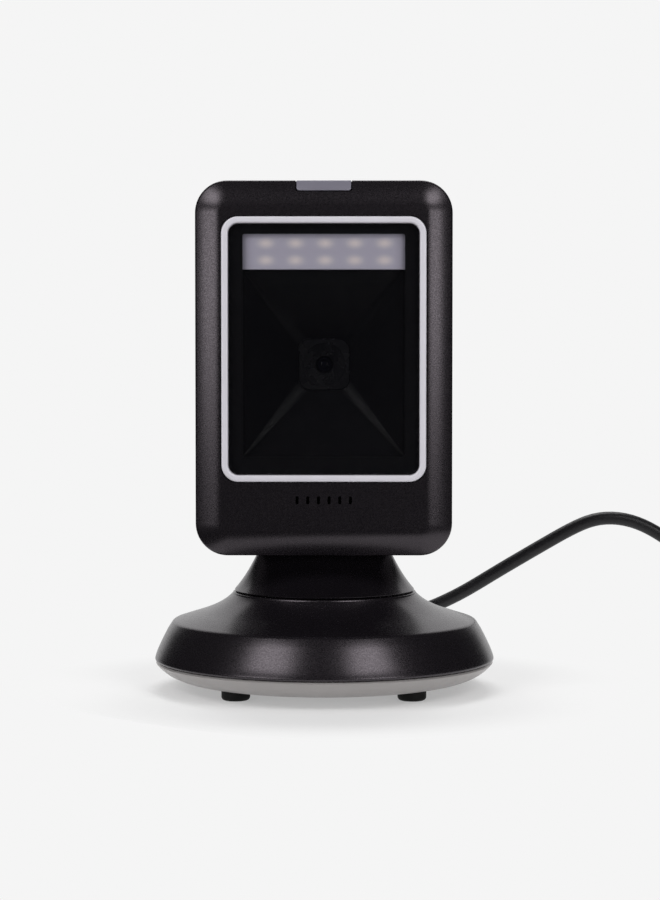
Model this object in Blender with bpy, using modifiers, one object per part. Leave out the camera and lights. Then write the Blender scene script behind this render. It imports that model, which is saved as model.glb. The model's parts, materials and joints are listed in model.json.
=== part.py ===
"""Hands-free desktop barcode scanner.

A scan head tilts on a neck, the neck swivels on a round weighted base, and a USB lead leaves the rear.
Metres, +Z up. The origin is on the table under the middle of the base, and the scan window faces -Y.
"""

import math
from collections import namedtuple

import bmesh
import bpy
import numpy as np
from mathutils import Matrix, Vector

# Clearances
GAP = 0.0003
BARREL_PLAY = 0.0006

# Head casing
HEAD_WIDTH = 0.0756
HEAD_HEIGHT = 0.1102
HEAD_CORNER = 0.0095
HEAD_WALL = 0.0022
FACE_TO_HINGE = 0.0270
BACK_TO_HINGE = 0.0240
HINGE_TO_BOTTOM = 0.0140
BEZEL_DEPTH = 0.0075
BAND_INSET = 0.0065
BAND_ANGLE = math.radians(55)
BACK_ROUND = 0.0050
BACK_DRAFT = 0.0006

# Window and trim, measured inwards from the head's edges
RING_SIDE_MARGIN = 0.0078
RING_TOP_MARGIN = 0.0107
RING_BOTTOM_MARGIN = 0.0219
RING_BAND = 0.00195
RING_CORNER = 0.0050
RING_PROUD = 0.0005
RING_EDGE = 0.0004
MASK_SIDE = 0.00425
MASK_TOP = 0.00305
MASK_BOTTOM = 0.00525
MASK_THICK = 0.0004
WINDOW_THICK = 0.0014
WINDOW_SINK = 0.0003
TRAY_LIP = 0.0022
TRAY_FLOOR = 0.0020
OPENING_LAP = 0.0012

# Lights and light baffle
DIFFUSER_HEIGHT = 0.0104
DIFFUSER_THICK = 0.0015
BAFFLE_WALL = 0.0012
FLANGE_THICK = 0.0020
FLANGE_LAP = 0.0007
FUNNEL_DEPTH = 0.0160
FUNNEL_END = 0.0014
LIGHT_BOX_DEPTH = 0.0080
BOARD_THICK = 0.0016
LED_COLUMNS = 5
LED_ROWS = 2
LED_PITCH_X = 0.0087
LED_PITCH_Z = 0.0050
LED_SIZE = 0.0030
LED_HEIGHT = 0.0012

# Camera
LENS_DROP = 0.0004
LENS_PLATE = 0.0156
LENS_PLATE_CORNER = 0.0036
LENS_PLATE_THICK = 0.0026
LENS_MOUTH = 0.00675
LENS_THROAT = 0.0026
LENS_STEPS = 4
LENS_BARREL = 0.0045
LENS_BARREL_LENGTH = 0.0065
LENS_NOSE = 0.0021
HOLDER_SIZE = 0.0180
HOLDER_DEPTH = 0.0100
SENSOR_BOARD_SIZE = 0.0240
SENSOR_BOARD_THICK = 0.0012

# Main board
MAIN_BOARD_WIDTH = 0.0460
MAIN_BOARD_HEIGHT = 0.0620
MAIN_BOARD_SPACING = 0.0048
MAIN_BOARD_RISE = 0.0052
POST_RADIUS = 0.0030
POST_INSET = 0.0040
CONNECTOR_WIDTH = 0.0120
CONNECTOR_DEPTH = 0.0036
CONNECTOR_HEIGHT = 0.0050

# Buzzer, sound slots and indicator light
BUZZER_RADIUS = 0.0060
BUZZER_THICK = 0.0035
BUZZER_HOLE = 0.0012
CHAMBER_WALL = 0.0010
CHAMBER_DEPTH = 0.0025
SLOT_COUNT = 6
SLOT_PITCH = 0.00313
SLOT_WIDTH = 0.0009
SLOT_HEIGHT = 0.00235
SLOT_DROP = 0.0054
INDICATOR_WIDTH = 0.0160
INDICATOR_HEIGHT = 0.0031
INDICATOR_CORNER = 0.0008
INDICATOR_BOARD_DEPTH = 0.0044
INDICATOR_BOARD_WIDTH = 0.0140

# One size of screw is used throughout
SCREW_SHANK = 0.0013
SCREW_HEAD = 0.0021
SCREW_HEAD_HEIGHT = 0.0015
SCREW_SEAT = 0.0030
SCREW_EDGE = 0.0011
SCREW_LENGTH = 0.0075
TOWER_WALL = 0.0011
BOSS_WALL = 0.0017

# Tilt hinge
HINGE_HEIGHT = 0.0565
BARREL_RADIUS = 0.0115
BARREL_HALF = 0.0216
CHEEK = 0.0024
FRICTION_WASHER_THICK = 0.0006
FRICTION_WASHER_RADIUS = 0.0080
SPRING_WASHER_THICK = 0.0005
SPRING_WASHER_RADIUS = 0.0044
PIN_RADIUS = 0.0025
PIN_REACH = 0.0090
PIN_HEAD = 0.0042
PIN_HEAD_HEIGHT = 0.0020
SLOT_HEADROOM = 0.0030
HEAD_CABLE_RADIUS = 0.0015
TILT_BACK = math.radians(30)
TILT_FORWARD = math.radians(10)

# Neck
SEAM_RADIUS = 0.0276
SEAM_HEIGHT = 0.0298
SEAM_EDGE = 0.0004
SEAM_STEP = 0.0003
NECK_WAIST_WIDTH = 0.0222
NECK_WAIST_DEPTH = 0.0114
NECK_WAIST_HEIGHT = 0.0361
NECK_TOP_WIDTH = 0.0180
NECK_TOP_INSET = 0.0006
NECK_TOP_HEIGHT = 0.0470
SPIGOT_RADIUS = 0.0150
CABLE_CHANNEL = 0.0042
RETAINER_RADIUS = 0.0195
RETAINER_THICK = 0.0020
SWIVEL_SCREW_CIRCLE = 0.0105
SWIVEL_WASHER_INNER = 0.0162
SWIVEL_WASHER_OUTER = 0.0230
SWIVEL_WASHER_THICK = 0.0006

# Base
BASE_RADIUS = 0.0516
BASE_WALL = 0.0020
SEAT_THICK = 0.0022
PARTING_HEIGHT = 0.0090
SHOULDER_RADIUS = 0.0461
SHOULDER_HEIGHT = 0.0209
SHOULDER_ROUND = 0.0024
FLARE_TOP_SLOPE = -1.10
FLARE_END_RADIUS = 0.0385
FLARE_END_SLOPE = -0.319
LIP_RADIUS = 0.0477
LIP_HEIGHT = 0.0184
RIM_BULGE = 0.00045
RIM_TURN = 0.0029
RIM_EDGE = 0.0006
FOOT_HEIGHT = 0.0028
FOOT_RADIUS = 0.00425
FOOT_CIRCLE = 0.0367
FOOT_POCKET = 0.0008
FOOT_EDGE = 0.0011
BOWL_FLAT = 0.0380
BOWL_TURN = 0.0470
TONGUE_RISE = 0.0012
TONGUE_THICK = 0.0016
BASE_SCREW_CIRCLE = 0.0330
BASE_SCREW_SEAT = 0.0034
WEIGHT_OUTER = 0.0278
WEIGHT_INNER = 0.0140
WEIGHT_THICK = 0.0055

# Strain relief and cord
BOOT_RISE = 0.0052
BOOT_FLANGE = 0.0045
BOOT_FLANGE_THICK = 0.0018
BOOT_WAIST = 0.0034
BOOT_SHOULDER = 0.0043
BOOT_TIP = 0.0030
BOOT_LENGTH = 0.0181
BOOT_RIBS = 4
CORD_RADIUS = 0.00225
CORD_SPACING = 0.0045

# Coil of spare cord, wound in layers and held by two ties
COIL_CENTRE_X = 0.1600
COIL_CENTRE_Y = 0.0600
COIL_RADIUS = 0.0246
COIL_TURNS = 8.25
COIL_LAYERS = 4
COIL_PITCH = 0.0050
COIL_POINTS = 24
COIL_TAIL = 0.0180
TIE_PLAY = 0.0004
TIE_THICK = 0.0009
TIE_WIDTH = 0.0040
TIE_ANGLES = (math.radians(15), math.radians(195))

# USB plug lying on the table
PLUG_WIDTH = 0.0156
PLUG_HEIGHT = 0.0078
PLUG_LENGTH = 0.0262
PLUG_EDGE = 0.0007
PLUG_RELIEF_LENGTH = 0.0080
PLUG_RELIEF_RADIUS = 0.0030
SHELL_WIDTH = 0.0120
SHELL_HEIGHT = 0.0045
SHELL_LENGTH = 0.0118
SHELL_WALL = 0.0003
SHELL_SEAT = 0.0024
TONGUE_HEIGHT = 0.0016

# Facets
CORNER_STEPS = 5
BAND_STEPS = 5
TURN_STEPS = 36
SMALL_STEPS = 20
SCREW_STEPS = 10
NECK_SIDES = 36
SHARP_ANGLE = math.radians(35)
MERGE = 0.00001
REACH = 0.0030
SHARP_CORNER = 0.0005

# Places worked out from the sizes above
FACE_Y = -FACE_TO_HINGE
BACK_Y = BACK_TO_HINGE
PARTING_Y = FACE_Y + BEZEL_DEPTH
COVER_Y = PARTING_Y + GAP
INNER_BACK_Y = BACK_Y - HEAD_WALL
HEAD_BOTTOM = HINGE_HEIGHT - HINGE_TO_BOTTOM
HEAD_TOP = HEAD_BOTTOM + HEAD_HEIGHT
HEAD_MIDDLE = (HEAD_BOTTOM + HEAD_TOP) / 2
BAND_RADIUS = BAND_INSET / math.sin(BAND_ANGLE)

WINDOW_Y = FACE_Y + WINDOW_SINK
MASK_Y = WINDOW_Y + WINDOW_THICK + GAP
POCKET_Y = MASK_Y + MASK_THICK + GAP
TRAY_Y = POCKET_Y + TRAY_FLOOR
FLANGE_Y = TRAY_Y + GAP
FUNNEL_Y = FLANGE_Y + FLANGE_THICK
LENS_SEAT_Y = FUNNEL_Y + FUNNEL_DEPTH
HOLDER_Y = LENS_SEAT_Y + FUNNEL_END + GAP
SENSOR_Y = HOLDER_Y + HOLDER_DEPTH + GAP
MAIN_BOARD_Y = SENSOR_Y + SENSOR_BOARD_THICK + MAIN_BOARD_SPACING
LED_BOARD_Y = FUNNEL_Y + LIGHT_BOX_DEPTH + GAP

WELL_RADIUS = SCREW_HEAD + GAP
TOWER_RADIUS = WELL_RADIUS + TOWER_WALL
PILOT_RADIUS = SCREW_SHANK + GAP
BOSS_RADIUS = PILOT_RADIUS + BOSS_WALL

ROOF_RADIUS = BARREL_RADIUS + BARREL_PLAY
SLOT_HALF = BARREL_HALF + FRICTION_WASHER_THICK + 2 * GAP
SLOT_FRONT = COVER_Y + HEAD_WALL
SLOT_TOP = HINGE_HEIGHT + SLOT_HEADROOM
CHEEK_OUTER = SLOT_HALF + CHEEK
HINGE_BORE = PIN_RADIUS + GAP
HINGE = (0, 0, HINGE_HEIGHT)

NECK_BOTTOM = SEAM_HEIGHT + GAP / 2
SEAT_TOP = SEAM_HEIGHT - GAP / 2
SEAT_BOTTOM = SEAT_TOP - SEAT_THICK
SPIGOT_BOTTOM = SEAT_BOTTOM - GAP
RETAINER_TOP = SPIGOT_BOTTOM - GAP
RETAINER_BOTTOM = RETAINER_TOP - RETAINER_THICK

FLOOR_TOP = FOOT_HEIGHT + BASE_WALL
BASE_SCREW_TOP = FOOT_HEIGHT + BASE_SCREW_SEAT
BOOT_HEIGHT = PARTING_HEIGHT + BOOT_RISE
COIL_HEIGHT = PLUG_HEIGHT / 2
COIL_TURNS_PER_LAYER = (COIL_TURNS - (COIL_LAYERS - 1) / 2) / COIL_LAYERS

# Ways to turn a piece that is made upright
ORIGIN = (0, 0, 0)
TURNS = {
    "Z": (0, 0, 0),
    "-Z": (math.pi, 0, 0),
    "Y": (-math.pi / 2, 0, 0),
    "-Y": (math.pi / 2, 0, 0),
    "X": (0, math.pi / 2, 0),
    "-X": (0, -math.pi / 2, 0),
    "SIDE": (math.pi / 2, 0, math.pi / 2),
}
WAYS = {
    "Z": Vector((0, 0, 1)),
    "-Z": Vector((0, 0, -1)),
    "Y": Vector((0, 1, 0)),
    "-Y": Vector((0, -1, 0)),
    "X": Vector((1, 0, 0)),
    "-X": Vector((-1, 0, 0)),
}


class Panel(namedtuple("Panel", "half low high")):
    """An upright rectangle seen from the front: half its width, its lower edge and its upper edge."""

    def grown(self, by):
        return Panel(self.half + by, self.low - by, self.high + by)

    def middle(self):
        return (self.low + self.high) / 2

    def outline(self, corner):
        steps = CORNER_STEPS if corner > SHARP_CORNER else 2
        return rounded_rectangle(2 * self.half, self.high - self.low, corner, steps)


RING = Panel(HEAD_WIDTH / 2 - RING_SIDE_MARGIN, HEAD_BOTTOM + RING_BOTTOM_MARGIN, HEAD_TOP - RING_TOP_MARGIN)
PANE = RING.grown(-RING_BAND)
CLEAR = Panel(PANE.half - MASK_SIDE, PANE.low + MASK_BOTTOM, PANE.high - MASK_TOP)
OPENING = CLEAR.grown(OPENING_LAP)
LIGHT_VIEW = Panel(CLEAR.half, CLEAR.high - DIFFUSER_HEIGHT, CLEAR.high)
CAMERA_VIEW = Panel(CLEAR.half, CLEAR.low, LIGHT_VIEW.low)
LENS_HEIGHT = CAMERA_VIEW.middle() - LENS_DROP
HEAD_SCREW_X = HEAD_WIDTH / 2 - BACK_ROUND - WELL_RADIUS - SCREW_EDGE
HEAD_SCREW_LOW = OPENING.low - FLANGE_LAP - GAP - BOSS_RADIUS
HEAD_SCREW_HIGH = OPENING.high + FLANGE_LAP + GAP + BOSS_RADIUS
HEAD_SCREWS = [(x, z) for z in (HEAD_SCREW_LOW, HEAD_SCREW_HIGH) for x in (-HEAD_SCREW_X, HEAD_SCREW_X)]

MAIN_BOARD_LOW = HINGE_HEIGHT + ROOF_RADIUS + HEAD_WALL + MAIN_BOARD_RISE
MAIN_BOARD = Panel(MAIN_BOARD_WIDTH / 2, MAIN_BOARD_LOW, MAIN_BOARD_LOW + MAIN_BOARD_HEIGHT)
POSTS = [
    (x, z)
    for z in (MAIN_BOARD.low + POST_INSET, MAIN_BOARD.high - POST_INSET)
    for x in (POST_INSET - MAIN_BOARD.half, MAIN_BOARD.half - POST_INSET)
]

SLOT_MIDDLE = RING.low - SLOT_DROP
CHAMBER_HALF = SLOT_COUNT / 2 * SLOT_PITCH
CHAMBER_TOP = RING.low - TRAY_LIP - GAP
CHAMBER = Panel(CHAMBER_HALF, CHAMBER_TOP - 2 * (BUZZER_RADIUS + CHAMBER_WALL + GAP), CHAMBER_TOP)

THIRDS = [math.radians(angle) for angle in (-90, 30, 150)]
FOOT_ANGLES = [math.radians(angle) for angle in (45, 135, 225, 315)]

# The cord's route from the strain relief to the coil: it droops, arches up to the right and comes down
CORD_ROUTE = [
    (0.0000, 0.0703, 0.0142),
    (0.0000, 0.0748, 0.0142),
    (0.0015, 0.0824, 0.0141),
    (0.0059, 0.0889, 0.0137),
    (0.0124, 0.0932, 0.0129),
    (0.0200, 0.0947, 0.0122),
    (0.0270, 0.0949, 0.0121),
    (0.0340, 0.0946, 0.0133),
    (0.0400, 0.0942, 0.0157),
    (0.0468, 0.0940, 0.0191),
    (0.0571, 0.0940, 0.0252),
    (0.0675, 0.0940, 0.0314),
    (0.0778, 0.0940, 0.0374),
    (0.0861, 0.0940, 0.0419),
    (0.0923, 0.0939, 0.0443),
    (0.0975, 0.0938, 0.0450),
    (0.1027, 0.0936, 0.0446),
    (0.1085, 0.0932, 0.0429),
    (0.1145, 0.0927, 0.0398),
    (0.1205, 0.0920, 0.0357),
    (0.1265, 0.0911, 0.0312),
    (0.1325, 0.0902, 0.0269),
    (0.1385, 0.0895, 0.0232),
    (0.1445, 0.0890, 0.0206),
    (0.1500, 0.0888, 0.0192),
    (0.1552, 0.0888, 0.0189),
]


def clear_scene():
    for obj in list(bpy.data.objects):
        bpy.data.objects.remove(obj, do_unlink=True)


def new_collection(name):
    collection = bpy.data.collections.new(name)
    bpy.context.scene.collection.children.link(collection)
    return collection


def new_material(name, colour, roughness, metallic=0.0, alpha=1.0):
    material = bpy.data.materials.new(name)
    material.use_nodes = True
    shader = material.node_tree.nodes["Principled BSDF"]
    shader.inputs["Base Color"].default_value = (*colour, 1.0)
    shader.inputs["Roughness"].default_value = roughness
    shader.inputs["Metallic"].default_value = metallic
    shader.inputs["Alpha"].default_value = alpha
    material.diffuse_color = (*colour, alpha)
    return material


def new_object(name, data, at=ORIGIN, turn=(0, 0, 0)):
    obj = bpy.data.objects.new(name, data)
    obj.location = at
    obj.rotation_euler = turn
    PARTS.objects.link(obj)
    return obj


def mesh_object(name, bm, at=ORIGIN, turn=(0, 0, 0)):
    bmesh.ops.recalc_face_normals(bm, faces=bm.faces)
    mesh = bpy.data.meshes.new(name)
    bm.to_mesh(mesh)
    bm.free()
    mesh.shade_smooth()
    mesh.set_sharp_from_angle(angle=SHARP_ANGLE)
    return new_object(name, mesh, at, turn)


def rounded_rectangle(width, height, corner, steps=CORNER_STEPS):
    points = []
    for quarter, (side, rise) in enumerate(((1, 1), (-1, 1), (-1, -1), (1, -1))):
        centre_u = side * (width / 2 - corner)
        centre_v = rise * (height / 2 - corner)
        for step in range(steps + 1):
            angle = math.pi / 2 * (quarter + step / steps)
            points.append((centre_u + corner * math.cos(angle), centre_v + corner * math.sin(angle)))
    return points


def bezier(start, control, end, steps):
    """Points of a quadratic curve, both ends included."""
    a, b, c = (np.array(point) for point in (start, control, end))
    places = np.linspace(0, 1, steps + 1)
    return [tuple((1 - t) ** 2 * a + 2 * t * (1 - t) * b + t**2 * c) for t in places]


def meeting(start, start_slope, end, end_slope):
    """Where two lines given by a point and a slope meet."""
    r = (end[1] - start[1] + start_slope * start[0] - end_slope * end[0]) / (start_slope - end_slope)
    return r, start[1] + start_slope * (r - start[0])


def inset(points, wall):
    """A chain of points moved to its right by the wall, with mitred corners."""
    chain = [Vector(point) for point in points]
    sides = [(b - a).normalized() for a, b in zip(chain, chain[1:])]
    normals = [Vector((side.y, -side.x)) for side in sides]
    moved = []
    for index, point in enumerate(chain):
        before = normals[max(index - 1, 0)]
        after = normals[min(index, len(normals) - 1)]
        moved.append(tuple(point + (before + after) * (wall / (1 + before.dot(after)))))
    return moved


def towards(start, end, distance):
    step = (Vector(end) - Vector(start)).normalized() * distance
    return tuple(Vector(start) + step)


def at_height(start, end, height):
    share = (height - start[1]) / (end[1] - start[1])
    return start[0] + share * (end[0] - start[0]), height


def box(name, low, high):
    bm = bmesh.new()
    bmesh.ops.create_cube(bm, size=1.0)
    bmesh.ops.scale(bm, vec=[b - a for a, b in zip(low, high)], verts=bm.verts)
    return mesh_object(name, bm, [(a + b) / 2 for a, b in zip(low, high)])


def boxes(name, corners):
    """Several boxes in one helper shape."""
    bm = bmesh.new()
    for low, high in corners:
        place = Matrix.Translation([(a + b) / 2 for a, b in zip(low, high)])
        size = Matrix.Diagonal([b - a for a, b in zip(low, high)]).to_4x4()
        bmesh.ops.create_cube(bm, size=1.0, matrix=place @ size)
    return mesh_object(name, bm)


def cylinder(name, radius, start, length, way="Z", sides=SMALL_STEPS):
    bm = bmesh.new()
    bmesh.ops.create_cone(bm, cap_ends=True, segments=sides, radius1=radius, radius2=radius, depth=length)
    return mesh_object(name, bm, Vector(start) + WAYS[way] * (length / 2), TURNS[way])


def turned(name, profile, at=ORIGIN, way="Z", steps=SMALL_STEPS, ring=False):
    """A profile of (radius, height) points, running down the outer side, swept round its axis."""
    mesh = bpy.data.meshes.new(name)
    edges = [(i, i + 1) for i in range(len(profile) - 1)]
    if ring:
        edges.append((len(profile) - 1, 0))
    mesh.from_pydata([(r, 0, h) for r, h in profile], edges, [])
    obj = new_object(name, mesh, at, TURNS[way])
    screw = obj.modifiers.new("Turn", "SCREW")
    screw.steps = steps
    screw.render_steps = steps
    screw.use_merge_vertices = True
    screw.merge_threshold = MERGE
    screw.use_smooth_shade = True
    return obj


def washer(name, inner, outer, start, thick, way="Z", steps=SMALL_STEPS):
    profile = [(inner, thick), (outer, thick), (outer, 0), (inner, 0)]
    return turned(name, profile, start, way, steps, ring=True)


def screw(name, seat, way, length=SCREW_LENGTH):
    """A pan-head screw whose head bears on the seat and whose shank points along the way."""
    profile = [
        (0, length),
        (SCREW_SHANK, length - SCREW_SHANK),
        (SCREW_SHANK, 0),
        (SCREW_HEAD, 0),
        (SCREW_HEAD, -SCREW_HEAD_HEIGHT),
        (0, -SCREW_HEAD_HEIGHT),
    ]
    return turned(name, profile, seat, way, SCREW_STEPS)


def as_mesh(curve_object):
    """A curve made a welded mesh, so that it can be cut."""
    bpy.context.view_layer.update()
    graph = bpy.context.evaluated_depsgraph_get()
    mesh = bpy.data.meshes.new_from_object(curve_object.evaluated_get(graph))
    name = curve_object.name
    place = curve_object.matrix_world.copy()
    bpy.data.objects.remove(curve_object, do_unlink=True)
    bm = bmesh.new()
    bm.from_mesh(mesh)
    bmesh.ops.remove_doubles(bm, verts=bm.verts, dist=MERGE / 10)
    bpy.data.meshes.remove(mesh)
    obj = mesh_object(name, bm)
    obj.matrix_world = place
    return obj


def plate(name, outlines, front, thick, height, turn=TURNS["-Y"]):
    """A flat outline, holes included, facing -Y: its front, thickness and the height of its middle."""
    curve = bpy.data.curves.new(name, "CURVE")
    curve.dimensions = "2D"
    curve.fill_mode = "BOTH"
    curve.extrude = thick / 2
    for outline in outlines:
        spline = curve.splines.new("POLY")
        spline.points.add(len(outline) - 1)
        for point, (u, v) in zip(spline.points, outline):
            point.co = (u, v, 0, 1)
        spline.use_cyclic_u = True
    return as_mesh(new_object(name, curve, (0, front + thick / 2, height), turn))


def panel_plate(name, panel, corner, front, back, hole=None, hole_corner=SHARP_CORNER):
    outlines = [panel.outline(corner)]
    if hole:
        shift = hole.middle() - panel.middle()
        outlines.append([(u, v + shift) for u, v in hole.outline(hole_corner)])
    return plate(name, outlines, front, back - front, panel.middle())


def loft(name, rings):
    """A closed skin through rings of equally many points, with flat ends."""
    bm = bmesh.new()
    loops = [[bm.verts.new(point) for point in ring] for ring in rings]
    for near, far in zip(loops, loops[1:]):
        for index in range(len(near)):
            after = (index + 1) % len(near)
            bm.faces.new((near[index], near[after], far[after], far[index]))
    bm.faces.new(loops[0])
    bm.faces.new(loops[-1])
    return mesh_object(name, bm)


def tube(name, points, radius, roundness):
    curve = bpy.data.curves.new(name, "CURVE")
    curve.dimensions = "3D"
    curve.bevel_depth = radius
    curve.bevel_resolution = roundness
    curve.use_fill_caps = True
    spline = curve.splines.new("POLY")
    spline.points.add(len(points) - 1)
    for point, place in zip(spline.points, points):
        point.co = (*place, 1)
    return new_object(name, curve)


def smooth_path(route, spacing):
    """Evenly spaced points on the natural cubic curve through the route's points."""
    points = np.array(route, float)
    count = len(points)
    chords = np.linalg.norm(np.diff(points, axis=0), axis=1)
    places = np.concatenate([[0], np.cumsum(chords)])
    system = np.eye(count)
    pull = np.zeros((count, 3))
    for i in range(1, count - 1):
        before, after = chords[i - 1], chords[i]
        system[i, i - 1 : i + 2] = before, 2 * (before + after), after
        rise = (points[i + 1] - points[i]) / after - (points[i] - points[i - 1]) / before
        pull[i] = 6 * rise
    bend = np.linalg.solve(system, pull)
    samples = np.linspace(0, places[-1], int(round(places[-1] / spacing)) + 1)
    spans = np.clip(np.searchsorted(places, samples, side="right") - 1, 0, count - 2)
    path = []
    for sample, i in zip(samples, spans):
        chord = chords[i]
        left, right = places[i + 1] - sample, sample - places[i]
        curve = (bend[i] * left**3 + bend[i + 1] * right**3) / (6 * chord)
        curve = curve + (points[i] / chord - bend[i] * chord / 6) * left
        path.append(tuple(curve + (points[i + 1] / chord - bend[i + 1] * chord / 6) * right))
    return path


def combine(target, operation, tools):
    """Joins tools to the target, or cuts them from it. The tools stay as hidden helper shapes."""
    for tool in tools:
        modifier = target.modifiers.new(tool.name, "BOOLEAN")
        modifier.object = tool
        modifier.operation = operation
        modifier.solver = "EXACT"
        tool.hide_render = True
        tool.display_type = "WIRE"
        PARTS.objects.unlink(tool)
        HELPERS.objects.link(tool)
    return target


def join(target, *tools):
    return combine(target, "UNION", tools)


def cut(target, *tools):
    return combine(target, "DIFFERENCE", tools)


def round_edges(obj, width, segments=1):
    bevel = obj.modifiers.new("Rounded edges", "BEVEL")
    bevel.width = width
    bevel.segments = segments
    bevel.limit_method = "ANGLE"
    bevel.angle_limit = SHARP_ANGLE
    return obj


def paint(material, *objects):
    for obj in objects:
        obj.data.materials.append(material)


def carry(axis, objects):
    """Hangs objects and their helper shapes on the empty of a joint, where they stand."""
    bpy.context.view_layer.update()
    for obj in objects:
        obj.parent = axis
        obj.matrix_parent_inverse = axis.matrix_world.inverted()
        carry(axis, [m.object for m in obj.modifiers if m.type == "BOOLEAN"])


def joint_axis(name, at, parent=None):
    empty = new_object(name, None, at)
    empty.empty_display_size = HEAD_CORNER
    if parent:
        carry(parent, [empty])
    return empty


def head_ring(depth_in, y):
    """The head's outline drawn in by some depth, at a place from front to back."""
    corner = max(HEAD_CORNER - depth_in, SHARP_CORNER)
    outline = rounded_rectangle(HEAD_WIDTH - 2 * depth_in, HEAD_HEIGHT - 2 * depth_in, corner)
    return [(u, y, HEAD_MIDDLE + v) for u, v in outline]


def front_form(name):
    """The outside of the front half: a flat face and a border that curves back to the edge."""
    rings = []
    for step in range(BAND_STEPS + 1):
        angle = BAND_ANGLE * step / BAND_STEPS
        depth_in = BAND_INSET - BAND_RADIUS * math.sin(angle)
        rings.append(head_ring(depth_in, FACE_Y + BAND_RADIUS * (1 - math.cos(angle))))
    rings.append(head_ring(0, PARTING_Y))
    return loft(name, rings)


def make_front_bezel():
    bezel = front_form("front_bezel")
    hollow = loft(
        "bezel_hollow",
        [
            head_ring(BAND_INSET, FACE_Y + HEAD_WALL),
            head_ring(HEAD_WALL, FACE_Y + HEAD_WALL + BAND_RADIUS * (1 - math.cos(BAND_ANGLE))),
            head_ring(HEAD_WALL, PARTING_Y + REACH),
        ],
    )
    root_y = FACE_Y + HEAD_WALL / 2
    tray = panel_plate("bezel_tray", RING.grown(TRAY_LIP), RING_CORNER + TRAY_LIP, root_y, TRAY_Y)
    chamber_y = FACE_Y + HEAD_WALL + CHAMBER_DEPTH
    chamber = panel_plate(
        "buzzer_chamber", CHAMBER.grown(0), BUZZER_RADIUS / 4, root_y, chamber_y, CHAMBER.grown(-CHAMBER_WALL)
    )
    bosses = [
        cylinder(f"bezel_boss_{i}", BOSS_RADIUS, (x, root_y, z), PARTING_Y - root_y, "Y")
        for i, (x, z) in enumerate(HEAD_SCREWS)
    ]
    cut(bezel, hollow)
    join(bezel, tray, chamber, *bosses)
    pocket = panel_plate("ring_pocket", RING.grown(GAP), RING_CORNER + GAP, FACE_Y - REACH, POCKET_Y)
    opening = panel_plate("window_opening", OPENING, SHARP_CORNER, FACE_Y - REACH, TRAY_Y + REACH)
    pilot_y = POCKET_Y + TRAY_FLOOR / 2
    pilots = [
        cylinder(
            f"bezel_pilot_{i}", PILOT_RADIUS, (x, pilot_y, z), PARTING_Y + REACH - pilot_y, "Y", SCREW_STEPS
        )
        for i, (x, z) in enumerate(HEAD_SCREWS)
    ]
    around = indicator_panel().grown(GAP)
    notch = panel_plate("indicator_notch", around, INDICATOR_CORNER, FACE_Y - REACH, PARTING_Y + REACH)
    cut(bezel, pocket, opening, notch, *pilots, *sound_slots())
    return bezel


def sound_slots():
    slots = []
    for i in range(SLOT_COUNT):
        slot = plate(
            f"sound_slot_{i}",
            [rounded_rectangle(SLOT_WIDTH, SLOT_HEIGHT, SLOT_WIDTH * 0.45, 2)],
            FACE_Y - REACH,
            HEAD_WALL + REACH + GAP,
            SLOT_MIDDLE,
        )
        slot.location.x = (i - (SLOT_COUNT - 1) / 2) * SLOT_PITCH
        slots.append(slot)
    return slots


def indicator_panel():
    return Panel(INDICATOR_WIDTH / 2, HEAD_TOP - INDICATOR_HEIGHT, HEAD_TOP + REACH)


def make_indicator():
    light = front_form("indicator_light")
    around = indicator_panel()
    shape = panel_plate("indicator_shape", around, INDICATOR_CORNER, FACE_Y - REACH, PARTING_Y + REACH)
    combine(light, "INTERSECT", [shape])
    low = RING.high + TRAY_LIP + GAP
    front = FACE_Y + HEAD_WALL + GAP
    half = INDICATOR_BOARD_WIDTH / 2
    board = box(
        "indicator_led_board", (-half, front, low), (half, front + INDICATOR_BOARD_DEPTH, low + BOARD_THICK)
    )
    middle = front + INDICATOR_BOARD_DEPTH / 2
    leds = []
    for x in (-half / 2, half / 2):
        leds.append(
            (
                (x - LED_SIZE / 2, middle - LED_SIZE / 2, low + BOARD_THICK / 2),
                (x + LED_SIZE / 2, middle + LED_SIZE / 2, low + BOARD_THICK + LED_HEIGHT),
            )
        )
    join(board, boxes("indicator_leds", leds))
    return light, board


def cover_rings(wall):
    """Rings of the rear cover's outside, or of its inside at the given wall."""
    turn = max(BACK_ROUND - wall, SHARP_CORNER)
    start = COVER_Y if wall == 0 else COVER_Y - REACH
    steps = 4 if wall == 0 else 2
    rings = [head_ring(wall, start)]
    for step in range(steps + 1):
        angle = math.pi / 2 * step / steps
        depth_in = wall + BACK_DRAFT + turn * (1 - math.cos(angle))
        rings.append(head_ring(depth_in, BACK_Y - BACK_ROUND + turn * math.sin(angle)))
    return rings


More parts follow.
